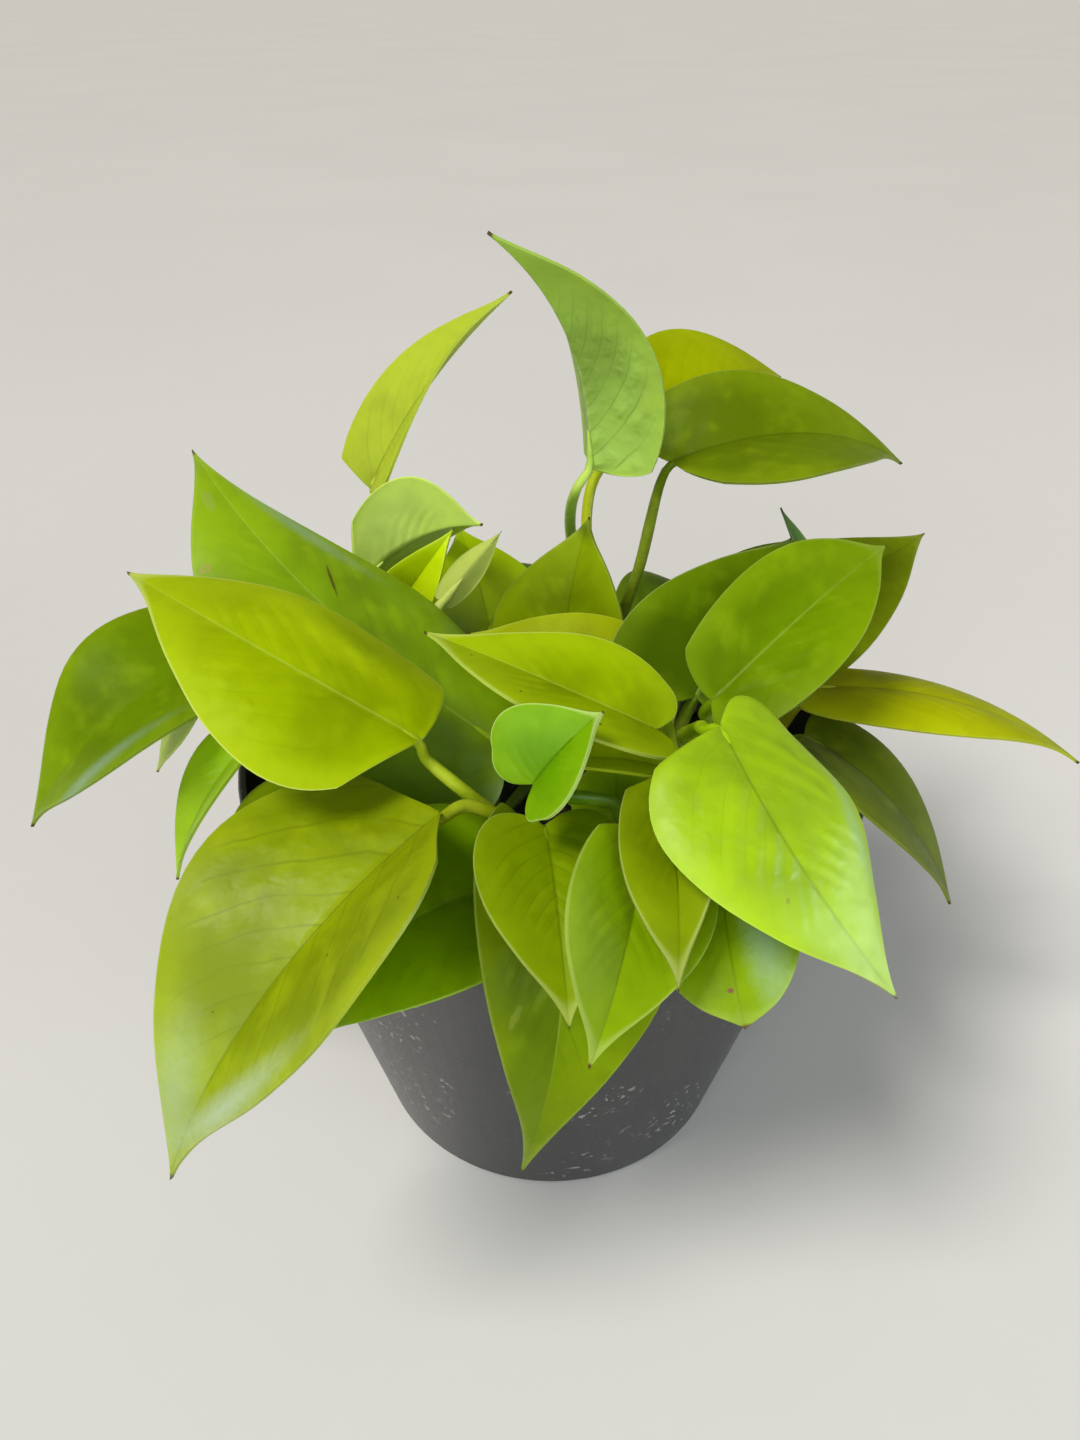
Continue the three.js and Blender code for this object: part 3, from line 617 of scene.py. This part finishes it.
def leaf_skin_group():
    """Mottled skin: faint side veins that sweep forwards, soft quilting, a midrib, a margin and a dry
    tip."""
    group, given, out = new_group(
        "leaf skin",
        [("Body", COLOUR), ("Deep", COLOUR), ("Light", COLOUR), ("Vein", COLOUR), ("Rib", COLOUR),
         ("Edge", COLOUR), ("Veins", NUMBER), ("Quilt", NUMBER), ("Rib share", NUMBER),
         ("Edge share", NUMBER), ("Halo", NUMBER), ("Roughness", NUMBER)],
        [("Colour", COLOUR), ("Roughness", NUMBER), ("Height", NUMBER)],
    )
    place = node(group, "ShaderNodeTexCoord").outputs["Object"]
    along = attribute(group, "along")
    across = attribute(group, "across")
    edge_mm = attribute(group, "edge_mm")
    rib_mm = attribute(group, "rib_mm")
    broad = noise_node(group, place, 40, 3)
    cloud = noise_node(group, place, 120, 3)
    patch = noise_node(group, place, 300, 2)
    fine = noise_node(group, place, 1100, 2)
    sweep = math_node(group, "MULTIPLY", math_node(group, "ADD", along, 0.3), across)
    front = math_node(group, "SUBTRACT", along, math_node(group, "MULTIPLY", sweep, VEIN_SWEEP))
    wander = math_node(group, "MULTIPLY", broad, VEIN_WANDER)
    wandering = math_node(group, "ADD", front, wander)
    phase = math_node(group, "MULTIPLY", wandering, SIDE_VEINS * math.pi)
    wave = math_node(group, "SINE", phase)
    pillow = math_node(group, "MULTIPLY", wave, wave)
    inside = ramp_node(group, edge_mm, 0.5, 7, 0, 1)
    broken = math_node(group, "MULTIPLY", ramp_node(group, cloud, 0.38, 0.6, 0.1, 1), inside)
    steady = math_node(group, "MULTIPLY", ramp_node(group, cloud, 0.3, 0.55, 0.45, 1), inside)
    line = math_node(group, "MULTIPLY", ramp_node(group, pillow, 0, 0.035, 1, 0), steady)
    vein = math_node(group, "MULTIPLY", line, given["Veins"])
    rib_fade = ramp_node(group, along, 0.3, 1, 1, 0.4)
    rib = math_node(group, "MULTIPLY", ramp_node(group, rib_mm, 0.1, 0.5, 1, 0), rib_fade)
    edge = math_node(group, "MULTIPLY", ramp_node(group, edge_mm, 0.06, 0.35, 1, 0), given["Edge share"])
    halo = math_node(group, "MULTIPLY", ramp_node(group, edge_mm, 0.4, 8, 1, 0), given["Halo"])
    tip = ramp_node(group, along, 0.975, 0.99, 0, 1)
    body = mix_node(group, ramp_node(group, broad, 0.4, 0.62, 0, 1), given["Body"], given["Deep"])
    clouded = mix_node(group, ramp_node(group, cloud, 0.48, 0.75, 0, 0.45), body, given["Light"])
    haloed = mix_node(group, halo, clouded, given["Light"])
    flecked = mix_node(group, ramp_node(group, patch, 0.46, 0.72, 0, 0.2), haloed, given["Deep"])
    veined = mix_node(group, vein, flecked, given["Vein"])
    ribbed = mix_node(group, math_node(group, "MULTIPLY", rib, given["Rib share"]), veined, given["Rib"])
    edged = mix_node(group, edge, ribbed, given["Edge"])
    group.links.new(mix_node(group, tip, edged, colour(DRY_TIP)), out["Colour"])
    pillows = math_node(group, "MULTIPLY", pillow, math_node(group, "MULTIPLY", broken, 1.1))
    swell = math_node(group, "ADD", pillows, math_node(group, "MULTIPLY", cloud, 1.4))
    dimples = math_node(group, "ADD", swell, math_node(group, "MULTIPLY", patch, 0.5))
    relief = math_node(group, "MULTIPLY", dimples, given["Quilt"])
    skin = math_node(group, "ADD", relief, math_node(group, "MULTIPLY", fine, 0.06))
    sunk = math_node(group, "MULTIPLY", math_node(group, "MULTIPLY", rib, given["Rib share"]), 0.5)
    group.links.new(math_node(group, "SUBTRACT", skin, sunk), out["Height"])
    uneven = math_node(group, "SUBTRACT", math_node(group, "MULTIPLY", patch, 0.3), 0.13)
    group.links.new(math_node(group, "ADD", given["Roughness"], uneven), out["Roughness"])
    return group


def grain_group():
    """Fine grain and broad blotches between two colours, with specks of pale dust."""
    group, given, out = new_group(
        "grain",
        [("Light", COLOUR), ("Dark", COLOUR), ("Speck", COLOUR), ("Broad scale", NUMBER),
         ("Fine scale", NUMBER), ("Specks", NUMBER), ("Roughness", NUMBER)],
        [("Colour", COLOUR), ("Roughness", NUMBER), ("Height", NUMBER)],
    )
    place = node(group, "ShaderNodeTexCoord").outputs["Object"]
    broad = node(group, "ShaderNodeTexNoise")
    fine = node(group, "ShaderNodeTexNoise")
    for made, label in ((broad, "Broad scale"), (fine, "Fine scale")):
        group.links.new(place, made.inputs["Vector"])
        group.links.new(given[label], made.inputs["Scale"])
        made.inputs["Detail"].default_value = 4
    blotch = ramp_node(group, broad.outputs["Fac"], 0.35, 0.65, 0, 1)
    speckle = math_node(group, "MULTIPLY", math_node(group, "SUBTRACT", fine.outputs["Fac"], 0.5), 0.9)
    share = math_node(group, "ADD", blotch, speckle)
    clamped = math_node(group, "MAXIMUM", math_node(group, "MINIMUM", share, 1), 0)
    mixed = mix_node(group, clamped, given["Light"], given["Dark"])
    motes = noise_node(group, place, 520, 1)
    drift = ramp_node(group, noise_node(group, place, 32, 2), 0.48, 0.62, 0, 1)
    dust = math_node(group, "MULTIPLY", ramp_node(group, motes, 0.62, 0.7, 0, 1), drift)
    dusty = math_node(group, "MULTIPLY", dust, given["Specks"])
    group.links.new(mix_node(group, dusty, mixed, given["Speck"]), out["Colour"])
    group.links.new(fine.outputs["Fac"], out["Height"])
    rough = math_node(group, "ADD", given["Roughness"], math_node(group, "MULTIPLY", speckle, 0.2))
    dull = math_node(group, "MULTIPLY", dusty, 0.3)
    group.links.new(math_node(group, "ADD", rough, dull), out["Roughness"])
    return group


def new_material(name):
    material = bpy.data.materials.new(name)
    material.use_nodes = True
    return material, material.node_tree, material.node_tree.nodes["Principled BSDF"]


def place_group(tree, group, values):
    made = node(tree, "ShaderNodeGroup", node_tree=group)
    for label, value in values.items():
        made.inputs[label].default_value = value
    return made.outputs


def bump(tree, shader, height, strength, distance):
    made = node(tree, "ShaderNodeBump")
    made.inputs["Strength"].default_value = strength
    made.inputs["Distance"].default_value = distance
    tree.links.new(height, made.inputs["Height"])
    tree.links.new(made.outputs[0], shader.inputs["Normal"])


def mark_mask(tree, mark):
    """One scar, speck or strip of painted sheen at its place on the blade: full inside an uneven oval,
    none outside it. A hollow mark is a ring, and a soft one fades outwards from its middle."""
    flat = node(tree, "ShaderNodeAttribute", attribute_name="flat_mm").outputs["Vector"]
    oval = node(tree, "ShaderNodeMapping", vector_type="TEXTURE")
    tree.links.new(flat, oval.inputs["Vector"])
    oval.inputs["Location"].default_value = (mark["across"], mark["along"], 0)
    oval.inputs["Rotation"].default_value = (0, 0, math.radians(mark["turn"]))
    oval.inputs["Scale"].default_value = (mark["long"], mark["short"], 1)
    size = node(tree, "ShaderNodeVectorMath", operation="LENGTH")
    tree.links.new(oval.outputs[0], size.inputs[0])
    place = node(tree, "ShaderNodeTexCoord").outputs["Object"]
    wobble = math_node(tree, "MULTIPLY", noise_node(tree, place, 900, 2), 0.8)
    reach = math_node(tree, "ADD", size.outputs["Value"], wobble)
    mask = ramp_node(tree, reach, MARK_FADE - mark["soft"], MARK_END + mark["soft"], mark["strength"], 0)
    if mark["hollow"]:
        ring = ramp_node(tree, reach, HOLLOW_FADE, HOLLOW_END, HOLLOW_SHARE, 1)
        mask = math_node(tree, "MULTIPLY", mask, ring)
    return mask


def leaf_material(row, face):
    """Leaf tissue: a waxy skin over flesh that lets some light through. The under face is paler."""
    body = row["colour"] if face == "upper" else towards(row["colour"], UNDER_TINT, 0.18)
    pale_rib = row["rib"] == "pale"
    material, tree, shader = new_material(row["name"] + " " + face + " face")
    skin = place_group(tree, LEAF_SKIN, {
        "Body": colour(body), "Deep": colour(darker(body, 0.86)),
        "Light": colour(towards(body, LIGHT_TINT, 0.3)), "Vein": colour(darker(body, 0.72)),
        "Rib": colour(towards(body, RIB_TINT, 0.5) if pale_rib else darker(body, 0.62)),
        "Edge": colour(towards(body, EDGE_TINT, 0.7)),
        "Veins": row["veins"], "Quilt": row["quilt"], "Rib share": RIB_SHARES[row["rib"]],
        "Edge share": row["margin"], "Halo": row["halo"], "Roughness": LEAF_ROUGHNESS})
    skin_colour = skin["Colour"]
    # Scars and specks, and strips of painted sheen: reflections painted into the skin's colour
    for mark in MARKS.get(row["name"], []):
        skin_colour = mix_node(tree, mark_mask(tree, mark), skin_colour, colour(mark["tint"]))
    tree.links.new(skin_colour, shader.inputs["Base Color"])
    tree.links.new(skin["Roughness"], shader.inputs["Roughness"])
    shader.inputs["Specular IOR Level"].default_value = row["gloss"]
    bump(tree, shader, skin["Height"], 0.7, LEAF_RELIEF * MM)
    through = node(tree, "ShaderNodeBsdfTranslucent")
    through.inputs["Color"].default_value = colour(towards(row["colour"], THROUGH_TINT, 0.5))
    blend = node(tree, "ShaderNodeMixShader")
    blend.inputs[0].default_value = row["glow"]
    tree.links.new(shader.outputs[0], blend.inputs[1])
    tree.links.new(through.outputs[0], blend.inputs[2])
    tree.links.new(blend.outputs[0], tree.nodes["Material Output"].inputs["Surface"])
    return material


def grain_material(name, light, dark, scales, roughness, relief, specks=0, gloss=0.5):
    """A grained finish: scales of its blotches and grain, strength and depth in millimetres of its
    relief."""
    material, tree, shader = new_material(name)
    broad_scale, fine_scale = scales
    strength, depth = relief
    grain = place_group(tree, GRAIN, {
        "Light": colour(light), "Dark": colour(dark), "Speck": colour(DUST),
        "Broad scale": broad_scale, "Fine scale": fine_scale, "Specks": specks, "Roughness": roughness})
    tree.links.new(grain["Colour"], shader.inputs["Base Color"])
    tree.links.new(grain["Roughness"], shader.inputs["Roughness"])
    shader.inputs["Specular IOR Level"].default_value = gloss
    bump(tree, shader, grain["Height"], strength, depth * MM)
    return material


# Leaves


def blade(row):
    """The blade: a flat grid laid on the midrib and the outline, thickened, its two faces dressed."""
    deselect_all()
    bpy.ops.mesh.primitive_grid_add(x_subdivisions=BLADE_COLUMNS, y_subdivisions=BLADE_ROWS, size=2)
    piece = bpy.context.object
    piece.name = row["name"] + "_leaf"
    mesh = piece.data
    mesh.uv_layers[0].name = "blade"
    for name in BLADE_MAPS:
        mesh.attributes.new(name, "FLOAT", "POINT")
    mesh.attributes.new("flat_mm", "FLOAT_VECTOR", "POINT")
    maps = {name: mesh.attributes[name].data for name in (*BLADE_MAPS, "flat_mm")}
    length = (row["tip"] - row["base"]).length
    for vertex in mesh.vertices:
        t = vertex.co.x
        u = (vertex.co.y + 1) / 2
        share, across = blade_place(row, u, t)
        half_width = row["width"] / 2 * outline_at(u).x
        maps["along"][vertex.index].value = share
        maps["across"][vertex.index].value = across
        maps["edge_mm"][vertex.index].value = half_width * (1 - abs(t))
        maps["rib_mm"][vertex.index].value = half_width * abs(t)
        maps["flat_mm"][vertex.index].vector = (half_width * t, share * length, 0)
        vertex.co = blade_point(row, u, t) * MM
    bpy.ops.object.mode_set(mode="EDIT")
    bpy.ops.mesh.select_all(action="SELECT")
    bpy.ops.mesh.remove_doubles(threshold=BLADE_MERGE_GAP * MM)
    bpy.ops.object.mode_set(mode="OBJECT")
    mesh.materials.append(leaf_material(row, "upper"))
    mesh.materials.append(leaf_material(row, "under"))
    wall = piece.modifiers.new("thickness", "SOLIDIFY")
    wall.thickness = BLADE_THICKNESS * MM
    wall.offset = 0
    wall.material_offset = 1
    apply_modifiers(piece)
    bpy.ops.object.shade_smooth_by_angle(angle=SMOOTH_ANGLE)
    return piece


def past(share, start):
    """How far a share lies past a start: 0 up to the start, 1 at the end."""
    return max(0, (share - start) / (1 - start))


def petiole(row):
    """The petiole springs from the stem, bends under the notch and runs out under the midrib."""
    length = (row["tip"] - row["base"]).length
    centre, tangent, normal, _ = midrib_at(row, 0)
    under, behind = row["knee"]
    grip_centre, _, grip_normal, _ = midrib_at(row, min(PETIOLE_GRIP / length, LONGEST_GRIP))
    stations = [spring_point(row), *(Vector(p) for p in row["via"]),
                centre - normal * under - tangent * behind,
                centre - normal * UNDER_NOTCH, grip_centre - grip_normal * UNDER_MIDRIB]
    curve = flowing_curve(stations)
    points = [point_along(curve, n / PETIOLE_RINGS) for n in range(PETIOLE_RINGS + 1)]
    radii = []
    for n in range(PETIOLE_RINGS + 1):
        share = n / PETIOLE_RINGS
        sheath = (SHEATH_RADIUS - PETIOLE_RADIUS) * max(0, 1 - share / SHEATH_END)
        slim = sheath + PETIOLE_RADIUS - TAPER * past(share, TAPER_START)
        radii.append(slim * (1 - LAST_TAPER * past(share, LAST_TAPER_START)))
    tube = stem_tube(row["name"] + "_petiole", points, radii, PETIOLE_SIDES)
    light = towards(row["colour"], PETIOLE_TINT, 0.4)
    dark = darker(row["colour"], 0.88)
    tube.data.materials.append(grain_material(row["name"] + " petiole", light, dark, (60, 700), 0.42,
                                              (0.2, 0.2), gloss=0.15))
    return tube


def grow_leaf(row):
    piece = blade(row)
    stalk = petiole(row)
    pick(piece, stalk)
    bpy.ops.object.join()
    settle(piece)
    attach(piece, "root")
    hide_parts("leaf_" + row["name"])


# Stems


def grow_stem(vine):
    """A short stem with a swelling at each joint where a petiole springs."""
    curve = vine_curve(vine)
    points = [point_along(curve, n / STEM_RINGS) for n in range(STEM_RINGS + 1)]
    girths = [USUAL_GIRTH + JOINT_SWELLING * math.cos(n * JOINT_STEP) for n in range(STEM_RINGS)]
    radii = [STEM_RADIUS * girth for girth in (*girths, END_GIRTH)]
    stem = stem_tube(vine + "_stem", points, radii, STEM_SIDES)
    stem.data.materials.append(STEM_SKIN)
    settle(stem)
    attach(stem, "root")
    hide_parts("vine_" + vine)


# Pot and mix


def wall_radius(z):
    """The outer radius of the pot's tapered wall at a height."""
    top = POT_HEIGHT - LIP_HEIGHT
    return POT_FOOT_RADIUS + (POT_RIM_RADIUS - LIP_STEP - LIP_ROUNDING - POT_FOOT_RADIUS) * z / top


def turned(name, profile):
    """A profile of radius and height in millimetres, spun round the pot's axis."""
    deselect_all()
    bpy.ops.mesh.primitive_plane_add(size=MM)
    piece = bpy.context.object
    piece.name = name
    bpy.ops.object.mode_set(mode="EDIT")
    bpy.ops.mesh.select_all(action="SELECT")
    bpy.ops.mesh.delete(type="VERT")
    bpy.ops.object.mode_set(mode="OBJECT")
    mesh = piece.data
    mesh.vertices.add(len(profile))
    for vertex, (radius, z) in zip(mesh.vertices, profile):
        vertex.co = (radius * MM, 0, z * MM)
    mesh.edges.add(len(profile) - 1)
    for edge in mesh.edges:
        edge.vertices = (edge.index, edge.index + 1)
    bpy.ops.object.mode_set(mode="EDIT")
    bpy.ops.mesh.select_all(action="SELECT")
    bpy.ops.mesh.spin(steps=POT_SEGMENTS, angle=2 * math.pi, center=(0, 0, 0), axis=(0, 0, 1))
    bpy.ops.mesh.select_all(action="SELECT")
    bpy.ops.mesh.remove_doubles(threshold=MERGE_GAP * MM)
    bpy.ops.mesh.normals_make_consistent(inside=False)
    bpy.ops.object.mode_set(mode="OBJECT")
    return piece


def make_pot():
    """The profile runs from the middle of the underside up the wall, over the lip, down the inside and
    back to the middle of the floor. The drain holes are then drilled."""
    lip_foot = POT_HEIGHT - LIP_HEIGHT
    rim = POT_RIM_RADIUS
    profile = [
        (0, 0), (POT_FOOT_RADIUS - 1.4, 0), (POT_FOOT_RADIUS - 0.4, 0.4), (wall_radius(1.4), 1.4),
        (wall_radius(lip_foot) - 0.1, lip_foot - 0.4), (wall_radius(lip_foot) + 0.4, lip_foot),
        (rim - 0.9, lip_foot + 0.3), (rim - 0.5, lip_foot + 0.8), (rim, POT_HEIGHT - 1.8),
        (rim - 0.15, POT_HEIGHT - 0.8), (rim - 0.7, POT_HEIGHT - 0.2), (rim - 1.3, POT_HEIGHT),
        (rim - 1.9, POT_HEIGHT - 0.3), (rim - 2.2, POT_HEIGHT - 1), (rim - 2.5, lip_foot + 1.6),
        (wall_radius(lip_foot) - POT_WALL, lip_foot - 1),
        (wall_radius(POT_FLOOR + 2) - POT_WALL, POT_FLOOR + 2),
        (wall_radius(POT_FLOOR) - POT_WALL - 2, POT_FLOOR), (0, POT_FLOOR)]
    pot = turned("nursery_pot", profile)
    deselect_all()
    drills = []
    for i in range(DRAIN_HOLES):
        angle = 2 * math.pi * i / DRAIN_HOLES
        place = (DRAIN_RING_RADIUS * math.cos(angle) * MM, DRAIN_RING_RADIUS * math.sin(angle) * MM, 0)
        bpy.ops.mesh.primitive_cylinder_add(vertices=32, radius=DRAIN_RADIUS * MM,
                                            depth=DRILL_LENGTH * MM, location=place)
        drills.append(bpy.context.object)
    pick(*drills)
    bpy.ops.object.join()
    drill = bpy.context.object
    cut = pot.modifiers.new("drain holes", "BOOLEAN")
    cut.operation = "DIFFERENCE"
    cut.object = drill
    apply_modifiers(pot)
    bpy.data.objects.remove(drill)
    pick(pot)
    bpy.ops.object.shade_smooth_by_angle(angle=POT_SMOOTH_ANGLE)
    pot.data.materials.append(POT_PLASTIC)
    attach(pot, "root")
    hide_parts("pot")


def mix_height(x, y):
    """The crumbled top of the mix, in millimetres over its rim."""
    spread = math.hypot(x, y) / (POT_FOOT_RADIUS - CROWN_INSET)
    crown = MIX_CROWN * max(0, 1 - 0.4 * spread)
    lumps = 0.5 * math.sin(x * 0.61 + 1.3) * math.cos(y * 0.53) + 0.35 * math.sin(x * 1.37 - y * 1.21)
    return crown + lumps - 0.6


def make_mix():
    bottom = POT_FLOOR + SEAT_GAP
    clear = POT_WALL + SEAT_GAP
    edge = wall_radius(MIX_TOP) - clear
    rings = [(r, MIX_TOP) for r in range(int(edge) - 1, 1, -MIX_RING_STEP)]
    profile = [(0, bottom), (wall_radius(bottom) - clear - MIX_CORNER, bottom),
               (wall_radius(bottom + MIX_CORNER) - clear, bottom + MIX_CORNER),
               (wall_radius(MIX_TOP - 1) - clear, MIX_TOP - 1), *rings, (0, MIX_TOP)]
    mix = turned("potting_mix_bed", profile)
    for vertex in mix.data.vertices:
        if vertex.co.z > (MIX_TOP - 0.5) * MM:
            vertex.co.z += mix_height(vertex.co.x / MM, vertex.co.y / MM) * MM
    pick(mix)
    bpy.ops.object.shade_smooth_by_angle(angle=SMOOTH_ANGLE)
    mix.data.materials.append(MIX_GRAIN)
    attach(mix, "root")
    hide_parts("potting_mix")


def make_crumbs():
    """Bark chips and peat crumbs on the mix, modelled once, then copied at seeded places."""
    chance = random.Random(4)
    deselect_all()
    bpy.ops.mesh.primitive_ico_sphere_add(subdivisions=1, radius=MM)
    pattern = bpy.context.object
    crumbs = []
    while len(crumbs) < CRUMBS:
        x = chance.uniform(-CRUMB_FIELD, CRUMB_FIELD)
        y = chance.uniform(-CRUMB_FIELD, CRUMB_FIELD)
        if math.hypot(x, y) > wall_radius(MIX_TOP) - CRUMB_TO_WALL:
            continue
        crumb = pattern.copy()
        crumb.data = pattern.data.copy()
        bpy.context.collection.objects.link(crumb)
        size = chance.uniform(*CRUMB_SIZES)
        flat = chance.uniform(*CRUMB_FLATNESS)
        crumb.scale = (size * chance.uniform(*CRUMB_STRETCH), size, size * flat)
        crumb.rotation_euler = (chance.uniform(-CRUMB_LEAN, CRUMB_LEAN),
                                chance.uniform(-CRUMB_LEAN, CRUMB_LEAN), chance.uniform(0, CRUMB_TURN))
        crumb.location = (x * MM, y * MM, (MIX_TOP + mix_height(x, y) + CRUMB_LIFT) * MM)
        crumbs.append(crumb)
    bpy.data.objects.remove(pattern)
    pick(*crumbs)
    bpy.ops.object.join()
    bed = bpy.context.object
    bed.name = "mix_crumbs"
    settle(bed)
    bed.data.materials.append(BARK)
    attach(bed, "root")


# Floor, lights and camera


def make_floor():
    deselect_all()
    bpy.ops.mesh.primitive_plane_add(size=60)
    floor = bpy.context.object
    floor.name = "pale_floor"
    floor.data.materials.append(grain_material("pale floor", "#DAD7D2", "#D8D5D0", (3, 60), 0.8,
                                               (0.05, 0.1), gloss=0))


def area_light(name, place, target, size, watts, tint):
    """A square lamp at a place, turned towards a target, both in metres."""
    deselect_all()
    bpy.ops.object.light_add(type="AREA", location=place)
    light = bpy.context.object
    light.name = name
    light.data.size = size
    light.data.energy = watts
    light.data.color = tint
    light.rotation_euler = (Vector(target) - Vector(place)).to_track_quat("-Z", "Y").to_euler()
    return light


def make_lights():
    """Soft daylight and two windows. The two sheen lamps only show as reflections on the leaves."""
    deselect_all()
    bpy.ops.object.light_add(type="SUN")
    sun = bpy.context.object
    sun.name = "soft daylight"
    sun.data.energy = 2.4
    sun.data.angle = math.radians(22)
    sun.data.color = (1, 0.985, 0.95)
    sun.rotation_euler = Vector((0.5, 0.35, -1)).to_track_quat("-Z", "Y").to_euler()
    sky_blue = (0.74, 0.88, 1)
    area_light("window behind the viewer", (-0.5, -1.8, 0.75), (0, 0, 0.1), 1.4, 18, (0.86, 0.94, 1))
    area_light("window at the right", (1.2, -0.9, 0.45), (0, 0, 0.12), 0.8, 6, (0.76, 0.9, 1))
    for side, place, watts in (("right", (1.5, -0.35, 0.35), 30), ("left", (-1, -1.15, 0.05), 12)):
        sheen = area_light("sheen from the " + side, place, (0, 0, 0.12), 1, watts, sky_blue)
        sheen.visible_diffuse = False
        sheen.visible_transmission = False
    world = bpy.data.worlds.new("soft room")
    world.use_nodes = True
    sky = world.node_tree.nodes["Background"]
    sky.inputs["Color"].default_value = (1, 0.99, 0.97, 1)
    sky.inputs["Strength"].default_value = 0.22
    bpy.context.scene.world = world


def make_camera():
    deselect_all()
    bpy.ops.object.camera_add(location=[c * MM for c in CAMERA_PLACE],
                              rotation=(math.radians(CAMERA_TILT), 0, 0))
    camera = bpy.context.object
    camera.data.sensor_width = LONG_SIDE_MM
    camera.data.lens = LONG_SIDE_MM * FOCAL_PIXELS / LONG_SIDE_PIXELS
    camera.data.clip_start = 0.01
    bpy.context.scene.camera = camera


LEAF_SKIN = leaf_skin_group()
GRAIN = grain_group()
STEM_SKIN = grain_material("stem skin", "#93A044", "#6C6A34", (90, 800), 0.5, (0.4, 0.3), gloss=0.15)
POT_PLASTIC = grain_material("charcoal plastic", "#2A2829", "#201F22", (25, 1600), 0.36, (0.15, 0.1),
                             specks=0.7)
MIX_GRAIN = grain_material("potting mix", "#33261D", "#150F0B", (220, 1500), 0.9, (0.9, 1.2))
BARK = grain_material("bark chips", "#4A3524", "#1C130D", (160, 1300), 0.85, (0.8, 0.5))

make_camera()
make_floor()
make_lights()
make_pot()
make_mix()
make_crumbs()
for vine in VINES:
    grow_stem(vine)
for row in LEAVES:
    grow_leaf(row)

bpy.context.scene.view_settings.view_transform = "Standard"
